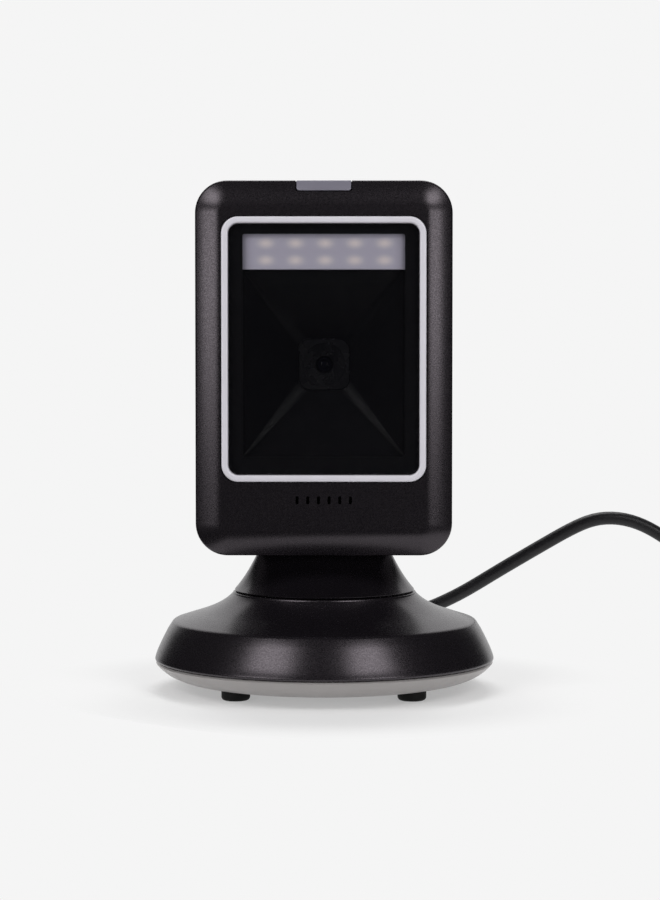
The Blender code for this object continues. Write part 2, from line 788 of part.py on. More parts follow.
def make_rear_cover():
    cover = loft("rear_cover", cover_rings(0))
    hollow = loft("cover_hollow", cover_rings(HEAD_WALL))
    root_y = BACK_Y - HEAD_WALL / 2
    lining = box(
        "slot_lining",
        (-CHEEK_OUTER, COVER_Y, HEAD_BOTTOM + HEAD_WALL / 2),
        (CHEEK_OUTER, root_y, SLOT_TOP + HEAD_WALL),
    )
    arch = [math.pi * step / 16 for step in range(17)]
    outline = on_circle(ROOF_RADIUS + HEAD_WALL, arch)
    roof = plate("slot_roof", [outline], -CHEEK_OUTER, 2 * CHEEK_OUTER, HINGE_HEIGHT, TURNS["SIDE"])
    towers = [
        cylinder(f"screw_tower_{i}", TOWER_RADIUS, (x, COVER_Y, z), root_y - COVER_Y, "Y")
        for i, (x, z) in enumerate(HEAD_SCREWS)
    ]
    post_y = MAIN_BOARD_Y + BOARD_THICK + GAP
    posts = [
        cylinder(f"board_post_{i}", POST_RADIUS, (x, post_y, z), root_y - post_y, "Y", 16)
        for i, (x, z) in enumerate(POSTS)
    ]
    cut(cover, hollow)
    join(cover, lining, roof, *towers, *posts)
    slot = box(
        "neck_slot", (-SLOT_HALF, SLOT_FRONT, HEAD_BOTTOM - REACH), (SLOT_HALF, BACK_Y + REACH, SLOT_TOP)
    )
    bore = cylinder("slot_bore", ROOF_RADIUS, (-SLOT_HALF, 0, HINGE_HEIGHT), 2 * SLOT_HALF, "X", 32)
    pin_start = (-CHEEK_OUTER - REACH, 0, HINGE_HEIGHT)
    pin_hole = cylinder("cheek_holes", HINGE_BORE, pin_start, 2 * (CHEEK_OUTER + REACH), "X", 16)
    cable_start = (0, 0, HINGE_HEIGHT + ROOF_RADIUS - REACH)
    cable_room = HEAD_CABLE_RADIUS + 2 * GAP
    cable_hole = cylinder("cable_hole", cable_room, cable_start, HEAD_WALL + 2 * REACH, "Z", 16)
    seat_y = COVER_Y + SCREW_SEAT
    wells = [
        cylinder(f"screw_well_{i}", WELL_RADIUS, (x, seat_y, z), BACK_Y + REACH - seat_y, "Y")
        for i, (x, z) in enumerate(HEAD_SCREWS)
    ]
    holes = [
        cylinder(
            f"screw_hole_{i}", PILOT_RADIUS, (x, COVER_Y - REACH, z), SCREW_SEAT + 2 * REACH, "Y", SCREW_STEPS
        )
        for i, (x, z) in enumerate(HEAD_SCREWS)
    ]
    post_holes = [
        cylinder(
            f"post_hole_{i}", PILOT_RADIUS, (x, post_y - REACH, z), REACH + post_hole_depth(), "Y", SCREW_STEPS
        )
        for i, (x, z) in enumerate(POSTS)
    ]
    cut(cover, slot, bore, pin_hole, cable_hole, *wells, *holes, *post_holes)
    return cover


def post_hole_depth():
    """Screw holes in the board posts stop half a wall short of the outside."""
    return BACK_Y - HEAD_WALL / 2 - (MAIN_BOARD_Y + BOARD_THICK + GAP)


def make_window():
    ring = panel_plate(
        "window_ring", RING, RING_CORNER, FACE_Y - RING_PROUD, POCKET_Y - GAP, PANE, RING_CORNER - RING_BAND
    )
    round_edges(ring, RING_EDGE)
    seat = PANE.grown(-GAP)
    corner = RING_CORNER - RING_BAND
    pane = panel_plate("scan_window", seat, corner, WINDOW_Y, WINDOW_Y + WINDOW_THICK)
    mask = panel_plate("window_mask", seat, corner, MASK_Y, MASK_Y + MASK_THICK, CLEAR)
    return ring, pane, mask


def make_diffuser():
    strip = Panel(OPENING.half - GAP, LIGHT_VIEW.low, OPENING.high - GAP)
    back = FLANGE_Y - GAP
    return panel_plate("light_diffuser", strip, SHARP_CORNER, back - DIFFUSER_THICK, back)


def panel_ring(panel, y, corner=SHARP_CORNER):
    outline = rounded_rectangle(2 * panel.half, panel.high - panel.low, corner, 3)
    return [(u, y, panel.middle() + v) for u, v in outline]


def lens_square(grow):
    half = LENS_PLATE / 2 + grow
    return Panel(half, LENS_HEIGHT - half, LENS_HEIGHT + half)


def make_baffle():
    baffle = panel_plate("light_baffle", OPENING.grown(FLANGE_LAP), SHARP_CORNER, FLANGE_Y, FUNNEL_Y)
    mouth_y = FLANGE_Y + FLANGE_THICK / 2
    funnel = loft(
        "funnel_outside",
        [
            panel_ring(CAMERA_VIEW.grown(BAFFLE_WALL / 2), mouth_y),
            panel_ring(lens_square(GAP + BAFFLE_WALL), LENS_SEAT_Y, LENS_PLATE_CORNER),
            panel_ring(lens_square(GAP + BAFFLE_WALL), LENS_SEAT_Y + FUNNEL_END, LENS_PLATE_CORNER),
        ],
    )
    light_box = panel_plate(
        "light_box", LIGHT_VIEW.grown(BAFFLE_WALL / 2), SHARP_CORNER, mouth_y, FUNNEL_Y + LIGHT_BOX_DEPTH
    )
    join(baffle, funnel, light_box)
    seat_front = LENS_SEAT_Y - LENS_PLATE_THICK
    inside = loft(
        "funnel_inside",
        [
            panel_ring(CAMERA_VIEW.grown(-BAFFLE_WALL / 2), FLANGE_Y - REACH),
            panel_ring(CAMERA_VIEW.grown(-BAFFLE_WALL / 2), FLANGE_Y),
            panel_ring(lens_square(GAP), seat_front, LENS_PLATE_CORNER),
            panel_ring(lens_square(GAP), LENS_SEAT_Y, LENS_PLATE_CORNER),
        ],
    )
    light_path = panel_plate(
        "light_path",
        LIGHT_VIEW.grown(-BAFFLE_WALL / 2),
        SHARP_CORNER,
        FLANGE_Y - REACH,
        FUNNEL_Y + LIGHT_BOX_DEPTH + REACH,
    )
    lens_hole = cylinder(
        "lens_hole", LENS_BARREL + GAP, (0, LENS_SEAT_Y - REACH, LENS_HEIGHT), FUNNEL_END + 2 * REACH, "Y"
    )
    cut(baffle, inside, light_path, lens_hole)
    return baffle


def make_led_board():
    half = LIGHT_VIEW.half + BAFFLE_WALL / 2
    middle = LIGHT_VIEW.middle()
    rise = (LIGHT_VIEW.high - LIGHT_VIEW.low + BAFFLE_WALL) / 2
    board = box(
        "led_board", (-half, LED_BOARD_Y, middle - rise), (half, LED_BOARD_Y + BOARD_THICK, middle + rise)
    )
    leds = []
    for row in range(LED_ROWS):
        for column in range(LED_COLUMNS):
            x = (column - (LED_COLUMNS - 1) / 2) * LED_PITCH_X
            z = middle + (row - (LED_ROWS - 1) / 2) * LED_PITCH_Z
            low = (x - LED_SIZE / 2, LED_BOARD_Y - LED_HEIGHT, z - LED_SIZE / 2)
            high = (x + LED_SIZE / 2, LED_BOARD_Y + BOARD_THICK / 2, z + LED_SIZE / 2)
            leds.append((low, high))
    join(board, boxes("scan_leds", leds))
    return board


def make_camera():
    """The square lens plate with its stepped mouth, the lens, its holder and the sensor board."""
    front = LENS_SEAT_Y - GAP - LENS_PLATE_THICK
    square = lens_square(0)
    bezel = panel_plate("lens_bezel", square, LENS_PLATE_CORNER, front, front + LENS_PLATE_THICK)
    radii = np.linspace(LENS_MOUTH, LENS_THROAT, LENS_STEPS)
    depth = LENS_PLATE_THICK / LENS_STEPS
    profile = [(0, REACH), (LENS_MOUTH, REACH)]
    for step, radius in enumerate(radii):
        bottom = -(step + 1) * depth if step + 1 < LENS_STEPS else -LENS_PLATE_THICK - REACH
        profile.append((radius, bottom))
        if step + 1 < LENS_STEPS:
            profile.append((radii[step + 1], bottom))
    profile.append((0, -LENS_PLATE_THICK - REACH))
    cut(bezel, turned("lens_mouth", profile, (0, front, LENS_HEIGHT), "-Y", 16))

    barrel_front = LENS_SEAT_Y
    nose = LENS_PLATE_THICK * 0.6
    lens = turned(
        "lens",
        [
            (0, nose),
            (LENS_NOSE * 0.6, nose * 0.85),
            (LENS_NOSE, nose * 0.5),
            (LENS_NOSE, 0),
            (LENS_BARREL, 0),
            (LENS_BARREL, -LENS_BARREL_LENGTH),
            (0, -LENS_BARREL_LENGTH),
        ],
        (0, barrel_front, LENS_HEIGHT),
        "-Y",
    )
    half = HOLDER_SIZE / 2
    holder = box(
        "camera_holder",
        (-half, HOLDER_Y, LENS_HEIGHT - half),
        (half, HOLDER_Y + HOLDER_DEPTH, LENS_HEIGHT + half),
    )
    bore_length = LENS_BARREL_LENGTH - FUNNEL_END + REACH
    bore = cylinder("holder_bore", LENS_BARREL + GAP, (0, HOLDER_Y - REACH, LENS_HEIGHT), bore_length, "Y")
    cut(holder, bore)
    half = SENSOR_BOARD_SIZE / 2
    board = box(
        "sensor_board",
        (-half, SENSOR_Y, LENS_HEIGHT - half),
        (half, SENSOR_Y + SENSOR_BOARD_THICK, LENS_HEIGHT + half),
    )
    return bezel, lens, holder, board


def make_main_board():
    board = box(
        "main_board",
        (-MAIN_BOARD.half, MAIN_BOARD_Y, MAIN_BOARD.low),
        (MAIN_BOARD.half, MAIN_BOARD_Y + BOARD_THICK, MAIN_BOARD.high),
    )
    root_y = MAIN_BOARD_Y + BOARD_THICK / 2
    half = CONNECTOR_WIDTH / 2
    base = MAIN_BOARD.low + POST_INSET
    chip = CONNECTOR_WIDTH * 0.55
    chip_z = MAIN_BOARD.middle() + MAIN_BOARD_HEIGHT / 4
    fittings = boxes(
        "board_fittings",
        [
            ((-half, MAIN_BOARD_Y - CONNECTOR_DEPTH, base), (half, root_y, base + CONNECTOR_HEIGHT)),
            ((-chip, MAIN_BOARD_Y - BOARD_THICK, chip_z - chip), (chip, root_y, chip_z + chip)),
        ],
    )
    join(board, fittings)
    holes = [
        cylinder(
            f"board_hole_{i}",
            PILOT_RADIUS,
            (x, MAIN_BOARD_Y - REACH, z),
            BOARD_THICK + 2 * REACH,
            "Y",
            SCREW_STEPS,
        )
        for i, (x, z) in enumerate(POSTS)
    ]
    cut(board, *holes)
    length = BOARD_THICK + 2 * GAP + post_hole_depth() - GAP
    screws = [
        screw(f"board_screw_{i + 1}", (x, MAIN_BOARD_Y - GAP, z), "Y", length)
        for i, (x, z) in enumerate(POSTS)
    ]
    return [board, *screws]


def make_buzzer():
    profile = [
        (0, -BUZZER_THICK / 2),
        (BUZZER_HOLE, -BUZZER_THICK / 2),
        (BUZZER_HOLE, 0),
        (BUZZER_RADIUS, 0),
        (BUZZER_RADIUS, -BUZZER_THICK),
        (0, -BUZZER_THICK),
    ]
    return turned("buzzer", profile, (0, FACE_Y + HEAD_WALL + GAP, CHAMBER.middle()), "-Y")


def make_head_screws():
    seat_y = COVER_Y + SCREW_SEAT + GAP
    length = seat_y - (POCKET_Y + TRAY_FLOOR / 2) - GAP
    return [
        screw(f"head_screw_{i + 1}", (x, seat_y, z), "-Y", length) for i, (x, z) in enumerate(HEAD_SCREWS)
    ]


def make_tilt_hardware():
    """Shoulder screws through the head's cheeks into the neck's barrel, with their washers."""
    pieces = []
    for side, way, inward in (("left", "-X", -1), ("right", "X", 1)):
        friction_x = inward * (BARREL_HALF + GAP)
        spring_x = inward * (CHEEK_OUTER + GAP)
        seat_x = inward * (CHEEK_OUTER + SPRING_WASHER_THICK + 2 * GAP)
        reach = CHEEK_OUTER + SPRING_WASHER_THICK + 2 * GAP - BARREL_HALF + PIN_REACH
        profile = [
            (0, PIN_HEAD_HEIGHT),
            (PIN_HEAD, PIN_HEAD_HEIGHT),
            (PIN_HEAD, 0),
            (PIN_RADIUS, 0),
            (PIN_RADIUS, -reach),
            (0, -reach),
        ]
        pieces += [
            turned(f"tilt_screw_{side}", profile, (seat_x, 0, HINGE_HEIGHT), way, 16),
            washer(
                f"tilt_friction_washer_{side}",
                HINGE_BORE,
                FRICTION_WASHER_RADIUS,
                (friction_x, 0, HINGE_HEIGHT),
                FRICTION_WASHER_THICK,
                way,
            ),
            washer(
                f"tilt_spring_washer_{side}",
                HINGE_BORE,
                SPRING_WASHER_RADIUS,
                (spring_x, 0, HINGE_HEIGHT),
                SPRING_WASHER_THICK,
                way,
                16,
            ),
        ]
    return pieces


def make_head_cable():
    top = MAIN_BOARD.low + POST_INSET - GAP
    end_y = MAIN_BOARD_Y - CONNECTOR_DEPTH / 2
    roof = HINGE_HEIGHT + ROOF_RADIUS + HEAD_WALL
    rise = top - roof
    route = [
        (0, 0, HINGE_HEIGHT + BARREL_RADIUS / 2),
        (0, 0, HINGE_HEIGHT + BARREL_RADIUS),
        (0, 0, roof),
        (0, end_y * 0.12, roof + rise * 0.30),
        (0, end_y * 0.5, roof + rise * 0.50),
        (0, end_y * 0.88, roof + rise * 0.70),
        (0, end_y, top - HEAD_CABLE_RADIUS * 2),
        (0, end_y, top),
    ]
    return tube("head_cable", smooth_path(route, 2 * HEAD_CABLE_RADIUS), HEAD_CABLE_RADIUS, 2)


def ellipse(width, depth, height):
    turns = [2 * math.pi * i / NECK_SIDES for i in range(NECK_SIDES)]
    return [(width * math.cos(turn), depth * math.sin(turn), height) for turn in turns]


def make_neck():
    top_depth = BARREL_RADIUS - NECK_TOP_INSET
    foot = (SEAM_RADIUS - SEAM_STEP, NECK_BOTTOM + SEAM_EDGE)
    widths = bezier(foot, (NECK_WAIST_WIDTH, NECK_WAIST_HEIGHT), (NECK_TOP_WIDTH, NECK_TOP_HEIGHT), 7)
    depths = bezier(foot, (NECK_WAIST_DEPTH, NECK_WAIST_HEIGHT), (top_depth, NECK_TOP_HEIGHT), 7)
    rings = [ellipse(foot[0] - SEAM_EDGE, foot[0] - SEAM_EDGE, NECK_BOTTOM)]
    rings += [ellipse(width, depth, z) for (width, z), (depth, _) in zip(widths, depths)]
    rings.append(ellipse(NECK_TOP_WIDTH, top_depth, HINGE_HEIGHT))
    neck = loft("neck", rings)
    barrel_start = (-BARREL_HALF, 0, HINGE_HEIGHT)
    barrel = cylinder("hinge_barrel", BARREL_RADIUS, barrel_start, 2 * BARREL_HALF, "X", 32)
    spigot_length = NECK_BOTTOM + REACH - SPIGOT_BOTTOM
    spigot = cylinder("neck_spigot", SPIGOT_RADIUS, (0, 0, SPIGOT_BOTTOM), spigot_length, "Z", 32)
    join(neck, barrel, spigot)
    channel_start = SPIGOT_BOTTOM - REACH
    channel_length = HINGE_HEIGHT + BARREL_RADIUS / 3 - channel_start
    channel = cylinder("cable_channel", CABLE_CHANNEL, (0, 0, channel_start), channel_length)
    bore_start = (-BARREL_HALF - REACH, 0, HINGE_HEIGHT)
    bore = cylinder("hinge_bore", HINGE_BORE, bore_start, 2 * (BARREL_HALF + REACH), "X", 16)
    play = HEAD_CABLE_RADIUS + 2 * GAP
    rise = BARREL_RADIUS + REACH
    swing = box(
        "cable_swing",
        (-play, -rise * math.tan(TILT_FORWARD) - 2 * play, HINGE_HEIGHT),
        (play, rise * math.tan(TILT_BACK) + 2 * play, HINGE_HEIGHT + rise),
    )
    pilots = [
        cylinder(
            f"swivel_pilot_{i}", PILOT_RADIUS, (x, y, channel_start), SCREW_LENGTH + REACH, "Z", SCREW_STEPS
        )
        for i, (x, y) in enumerate(on_circle(SWIVEL_SCREW_CIRCLE, THIRDS))
    ]
    cut(neck, channel, bore, swing, *pilots)
    return neck


def on_circle(radius, angles):
    return [(radius * math.cos(angle), radius * math.sin(angle)) for angle in angles]


def make_swivel():
    hole = CABLE_CHANNEL + GAP
    low = (0, 0, RETAINER_BOTTOM)
    retainer = washer("swivel_retainer", hole, RETAINER_RADIUS, low, RETAINER_THICK, "Z", 30)
    places = on_circle(SWIVEL_SCREW_CIRCLE, THIRDS)
    holes = [
        cylinder(
            f"retainer_hole_{i}",
            PILOT_RADIUS,
            (x, y, RETAINER_BOTTOM - REACH),
            RETAINER_THICK + 2 * REACH,
            "Z",
            SCREW_STEPS,
        )
        for i, (x, y) in enumerate(places)
    ]
    cut(retainer, *holes)
    screws = [
        screw(f"swivel_screw_{i + 1}", (x, y, RETAINER_BOTTOM - GAP), "Z") for i, (x, y) in enumerate(places)
    ]
    ring = washer(
        "swivel_washer",
        SWIVEL_WASHER_INNER,
        SWIVEL_WASHER_OUTER,
        (0, 0, NECK_BOTTOM - GAP - SWIVEL_WASHER_THICK),
        SWIVEL_WASHER_THICK,
        "Z",
        32,
    )
    return retainer, screws, ring


def base_outline():
    """Corner points that shape the dome: seam, flare control and end, shoulder, rim control, parting edge."""
    seam = (SEAM_RADIUS + SEAM_STEP, SEAT_TOP - SEAM_EDGE)
    shoulder = (SHOULDER_RADIUS, SHOULDER_HEIGHT)
    flare = meeting(seam, FLARE_TOP_SLOPE, shoulder, FLARE_END_SLOPE)
    end = (FLARE_END_RADIUS, SHOULDER_HEIGHT + (FLARE_END_RADIUS - SHOULDER_RADIUS) * FLARE_END_SLOPE)
    rim = (BASE_RADIUS - RIM_BULGE, PARTING_HEIGHT + RIM_TURN)
    edge = (BASE_RADIUS, PARTING_HEIGHT + RIM_EDGE)
    return seam, flare, end, shoulder, rim, edge


def rim_inside():
    """The inner side of the dome's rim, from its lower edge to the shoulder."""
    *_, shoulder_in, rim_in, edge_in = inset(base_outline(), BASE_WALL)
    return bezier(edge_in, rim_in, shoulder_in, 2)


def make_base_top():
    seam, flare, end, shoulder, rim, edge = base_outline()
    groove = SEAT_TOP - SWIVEL_WASHER_THICK - GAP
    collar = SPIGOT_RADIUS + GAP
    lip = (LIP_RADIUS, LIP_HEIGHT)
    outside = [
        (collar, SEAT_TOP),
        (SWIVEL_WASHER_INNER - GAP, SEAT_TOP),
        (SWIVEL_WASHER_INNER - GAP, groove),
        (SWIVEL_WASHER_OUTER + GAP, groove),
        (SWIVEL_WASHER_OUTER + GAP, SEAT_TOP),
        (seam[0] - SEAM_EDGE, SEAT_TOP),
    ]
    outside += bezier(seam, flare, end, 5)
    outside += bezier(towards(shoulder, end, SHOULDER_ROUND), shoulder, lip, 3)
    outside += bezier(lip, rim, edge, 3)[1:]
    outside.append((BASE_RADIUS - RIM_EDGE / 2, PARTING_HEIGHT))
    seam_in, flare_in, end_in, _, _, edge_in = inset(base_outline(), BASE_WALL)
    start_in = at_height(seam_in, flare_in, SEAT_BOTTOM)
    inside = [(edge_in[0], PARTING_HEIGHT)]
    inside += rim_inside()
    inside += bezier(end_in, flare_in, start_in, 3)
    inside.append((collar, SEAT_BOTTOM))
    cover = turned("base_top_cover", outside + inside, steps=TURN_STEPS, ring=True)

    low = BASE_SCREW_TOP + GAP
    heights = bezier(seam, flare, end, 40)
    roof = min(z for r, z in heights if r <= BASE_SCREW_CIRCLE + BOSS_RADIUS) - BASE_WALL / 2
    places = on_circle(BASE_SCREW_CIRCLE, THIRDS)
    bosses = [
        cylinder(f"base_boss_{i}", BOSS_RADIUS, (x, y, low), roof - low, "Z", 16)
        for i, (x, y) in enumerate(places)
    ]
    join(cover, *bosses)
    pilots = [
        cylinder(f"base_pilot_{i}", PILOT_RADIUS, (x, y, low - REACH), SCREW_LENGTH + REACH, "Z", SCREW_STEPS)
        for i, (x, y) in enumerate(places)
    ]
    cord_hole = cylinder("cord_hole", BOOT_WAIST + GAP, (0, BASE_RADIUS / 2, BOOT_HEIGHT), BASE_RADIUS, "Y")
    cut(cover, cord_hole, *pilots)
    return cover


def make_base_bottom():
    edge = (BASE_RADIUS - RIM_EDGE / 2, PARTING_HEIGHT - GAP)
    turn = (BOWL_TURN, FOOT_HEIGHT)
    flat = (BOWL_FLAT, FOOT_HEIGHT)
    edge_in, turn_in, flat_in = inset([edge, turn, flat], BASE_WALL)
    rim_edge, rim_middle, _ = rim_inside()
    tongue_top = PARTING_HEIGHT + TONGUE_RISE
    tongue_outer = at_height(rim_edge, rim_middle, tongue_top)[0] - GAP
    tongue_inner = tongue_outer - TONGUE_THICK
    profile = [(0, FLOOR_TOP), (flat_in[0], FLOOR_TOP)]
    profile += bezier(flat_in, turn_in, (tongue_inner, edge_in[1]), 3)[1:]
    profile += [(tongue_inner, tongue_top), (tongue_outer, tongue_top), (tongue_outer, edge[1])]
    profile += bezier(edge, turn, flat, 5)
    profile.append((0, FOOT_HEIGHT))
    bowl = turned("base_bottom_cover", profile, steps=TURN_STEPS)

    places = on_circle(BASE_SCREW_CIRCLE, THIRDS)
    seat_z = FOOT_HEIGHT + SCREW_HEAD_HEIGHT + GAP
    seats = [
        cylinder(
            f"base_seat_{i}", WELL_RADIUS + BOSS_WALL, (x, y, seat_z), BASE_SCREW_TOP - seat_z, "Z", 16
        )
        for i, (x, y) in enumerate(places)
    ]
    join(bowl, *seats)
    recesses = [
        cylinder(
            f"base_recess_{i}",
            WELL_RADIUS,
            (x, y, FOOT_HEIGHT - REACH),
            REACH + SCREW_HEAD_HEIGHT + GAP,
            "Z",
            16,
        )
        for i, (x, y) in enumerate(places)
    ]
    holes = [
        cylinder(f"base_hole_{i}", PILOT_RADIUS, (x, y, 0), BASE_SCREW_TOP + REACH, "Z", SCREW_STEPS)
        for i, (x, y) in enumerate(places)
    ]
    pockets = [
        cylinder(f"foot_pocket_{i}", FOOT_RADIUS + GAP, (x, y, 0), FOOT_HEIGHT + FOOT_POCKET, "Z")
        for i, (x, y) in enumerate(on_circle(FOOT_CIRCLE, FOOT_ANGLES))
    ]
    cut(bowl, *recesses, *holes, *pockets)
    return bowl


def make_base_fittings():
    weight = washer("base_weight", WEIGHT_INNER, WEIGHT_OUTER, (0, 0, FLOOR_TOP + GAP), WEIGHT_THICK, "Z", 32)
    seat_z = FOOT_HEIGHT + SCREW_HEAD_HEIGHT + GAP
    screws = [
        screw(f"base_screw_{i + 1}", (x, y, seat_z - GAP), "Z")
        for i, (x, y) in enumerate(on_circle(BASE_SCREW_CIRCLE, THIRDS))
    ]
    top = FOOT_HEIGHT + FOOT_POCKET - GAP
    profile = [
        (0, top),
        (FOOT_RADIUS, top),
        (FOOT_RADIUS, FOOT_EDGE),
        (FOOT_RADIUS - FOOT_EDGE * 0.3, FOOT_EDGE * 0.3),
        (FOOT_RADIUS - FOOT_EDGE, 0),
        (0, 0),
    ]
    feet = [
        turned(f"rubber_foot_{i + 1}", profile, (x, y, 0), "Z", 16)
        for i, (x, y) in enumerate(on_circle(FOOT_CIRCLE, FOOT_ANGLES))
    ]
    return weight, screws, feet


def boot_places():
    """Where the strain relief starts, passes the wall and ends, along Y."""
    *_, shoulder_in, _, _ = inset(base_outline(), BASE_WALL)
    flange_end = shoulder_in[0] - GAP
    return flange_end - BOOT_FLANGE_THICK, flange_end, BASE_RADIUS + GAP, BASE_RADIUS + GAP + BOOT_LENGTH


def make_strain_relief():
    start, flange_end, shoulder, tip = boot_places()
    profile = [(0, start), (BOOT_FLANGE, start), (BOOT_FLANGE, flange_end), (BOOT_WAIST, flange_end)]
    profile += [(BOOT_WAIST, shoulder), (BOOT_SHOULDER, shoulder)]
    rib = (tip - shoulder) / (2 * BOOT_RIBS + 1)
    groove = (BOOT_TIP - CORD_RADIUS) * 0.6
    for step in range(1, 2 * BOOT_RIBS + 1):
        along = shoulder + step * rib
        radius = BOOT_SHOULDER + (BOOT_TIP - BOOT_SHOULDER) * step / (2 * BOOT_RIBS)
        inner = radius - groove
        profile += [(radius, along), (inner, along)] if step % 2 else [(inner, along), (radius, along)]
    profile += [(BOOT_TIP, tip), (0, tip)]
    return turned("cord_strain_relief", profile[::-1], (0, 0, BOOT_HEIGHT), "Y", 16)


def make_inner_cable():
    start = boot_places()[0] - GAP
    turn = RETAINER_BOTTOM
    route = [
        (0, start, BOOT_HEIGHT),
        (0, start * 0.85, BOOT_HEIGHT),
        (0, start * 0.6, BOOT_HEIGHT + CORD_RADIUS * 0.2),
        (0, start * 0.38, BOOT_HEIGHT + CORD_RADIUS * 0.6),
        (0, start * 0.18, BOOT_HEIGHT + CORD_RADIUS * 1.7),
        (0, start * 0.05, turn - CORD_RADIUS * 2),
        (0, 0, turn),
        (0, 0, NECK_BOTTOM + CORD_RADIUS),
        (0, 0, HINGE_HEIGHT - BARREL_RADIUS),
    ]
    return tube("inner_cable", smooth_path(route, CORD_SPACING), CORD_RADIUS, 2)


def coil_path():
    """The coil from its top layer down: each layer spirals in or out, with half a turn down to the next."""
    span = COIL_TURNS_PER_LAYER + 0.5
    steps = int(round(COIL_TURNS * COIL_POINTS))
    outer = COIL_RADIUS + COIL_PITCH * COIL_TURNS_PER_LAYER / 2
    path = []
    for step in range(steps + 1):
        turn = step / COIL_POINTS
        layer = int(min((turn + 0.25) // span, COIL_LAYERS - 1))
        within = turn + 0.25 - layer * span
        swing = within - span / 2
        radius = COIL_RADIUS + COIL_PITCH * swing * (1 if layer % 2 else -1)
        drop = layer_drop(turn, span)
        angle = math.pi / 2 - 2 * math.pi * turn
        x = COIL_CENTRE_X + radius * math.cos(angle)
        y = COIL_CENTRE_Y + radius * math.sin(angle)
        path.append((x, y, COIL_HEIGHT + (COIL_LAYERS - 1 - drop) * COIL_PITCH))
    straight_in = 2 * CORD_RADIUS
    first = (path[0][0] - straight_in, path[0][1], path[0][2])
    last = (path[-1][0], path[-1][1] - COIL_TAIL, path[-1][2])
    print(f"coil: outer start radius {outer:.4f} m, {len(path)} points")
    return [first, *path, last]


def layer_drop(turn, span):
    """How many layers the coil has come down, easing through each half turn between layers."""
    drop = 0.0
    for layer in range(COIL_LAYERS - 1):
        share = (turn - (layer * span + COIL_TURNS_PER_LAYER)) / 0.5
        share = min(max(share, 0.0), 1.0)
        drop += share
    return drop


def least_gap(path, radius, skip):
    """The least space between the tube and itself, leaving out the points next along it."""
    points = np.array(path)
    apart = np.linalg.norm(points[:, None] - points[None], axis=2)
    index = np.arange(len(points))
    apart[abs(index[:, None] - index[None]) < skip] = np.inf
    return apart.min() - 2 * radius


def make_cord():
    path = smooth_path(CORD_ROUTE, CORD_SPACING)
    cord = tube("usb_cord", path, CORD_RADIUS, 2)
    loops = coil_path()
    coil = tube("usb_cord_coil", loops, CORD_RADIUS, 1)
    length = sum(math.dist(a, b) for run in (path, loops) for a, b in zip(run, run[1:]))
    gap = least_gap(loops, CORD_RADIUS, COIL_POINTS // 2)
    print(f"cord: {length:.4f} m long, least gap in the coil {gap * 1000:.2f} mm")
    return cord, coil


def make_ties():
    swing = COIL_PITCH * (COIL_TURNS_PER_LAYER / 2 + 0.25)
    width = 2 * (swing + CORD_RADIUS + TIE_PLAY)
    height = (COIL_LAYERS - 1) * COIL_PITCH + 2 * (CORD_RADIUS + TIE_PLAY)
    middle = COIL_HEIGHT + (COIL_LAYERS - 1) * COIL_PITCH / 2
    inner = rounded_rectangle(width, height, CORD_RADIUS, 3)
    outer = rounded_rectangle(width + 2 * TIE_THICK, height + 2 * TIE_THICK, CORD_RADIUS + TIE_THICK, 3)
    ties = []
    for i, angle in enumerate(TIE_ANGLES):
        turn = (math.pi / 2, 0, angle)
        tie = plate(f"coil_tie_{i + 1}", [outer, inner], 0, TIE_WIDTH, middle, turn)
        tie.location.x = COIL_CENTRE_X + COIL_RADIUS * math.cos(angle)
        tie.location.y = COIL_CENTRE_Y + COIL_RADIUS * math.sin(angle)
        ties.append(tie)
    return ties


def make_plug():
    x = COIL_CENTRE_X + COIL_RADIUS + COIL_PITCH * COIL_TURNS_PER_LAYER / 2
    start = COIL_CENTRE_Y - COIL_TAIL - GAP
    middle = PLUG_HEIGHT / 2
    back = start - PLUG_RELIEF_LENGTH
    front = back - PLUG_LENGTH
    half = PLUG_WIDTH / 2
    body = round_edges(box("usb_plug_body", (x - half, front, 0), (x + half, back, PLUG_HEIGHT)), PLUG_EDGE)
    relief = turned(
        "plug_relief",
        [
            (0, PLUG_RELIEF_LENGTH + REACH),
            (PLUG_RELIEF_RADIUS, PLUG_RELIEF_LENGTH + REACH),
            (PLUG_RELIEF_RADIUS, PLUG_RELIEF_LENGTH),
            (CORD_RADIUS + GAP, 0),
            (0, 0),
        ],
        (x, start, middle),
        "-Y",
        20,
    )
    join(body, relief)
    pocket_half = SHELL_WIDTH / 2 + GAP
    pocket_rise = SHELL_HEIGHT / 2 + GAP
    seat = front + SHELL_SEAT
    pocket = box(
        "plug_pocket",
        (x - pocket_half, front - REACH, middle - pocket_rise),
        (x + pocket_half, seat, middle + pocket_rise),
    )
    cut(body, pocket)
    shell_back = seat - GAP
    shell_front = front - SHELL_LENGTH
    outline = rounded_rectangle(SHELL_WIDTH, SHELL_HEIGHT, SHELL_WALL * 2, 2)
    hole = rounded_rectangle(SHELL_WIDTH - 2 * SHELL_WALL, SHELL_HEIGHT - 2 * SHELL_WALL, SHELL_WALL, 2)
    shell = plate("usb_plug_shell", [outline, hole], shell_front, shell_back - shell_front, middle)
    shell.location.x = x
    tongue_half = SHELL_WIDTH / 2 - SHELL_WALL - GAP
    tongue_top = middle + SHELL_HEIGHT / 2 - SHELL_WALL - GAP
    tongue = box(
        "usb_plug_tongue",
        (x - tongue_half, shell_front + SHELL_WALL, tongue_top - TONGUE_HEIGHT),
        (x + tongue_half, shell_back, tongue_top),
    )
    return body, shell, tongue


clear_scene()
PARTS = new_collection("desktop_barcode_scanner")
HELPERS = new_collection("helper_shapes")

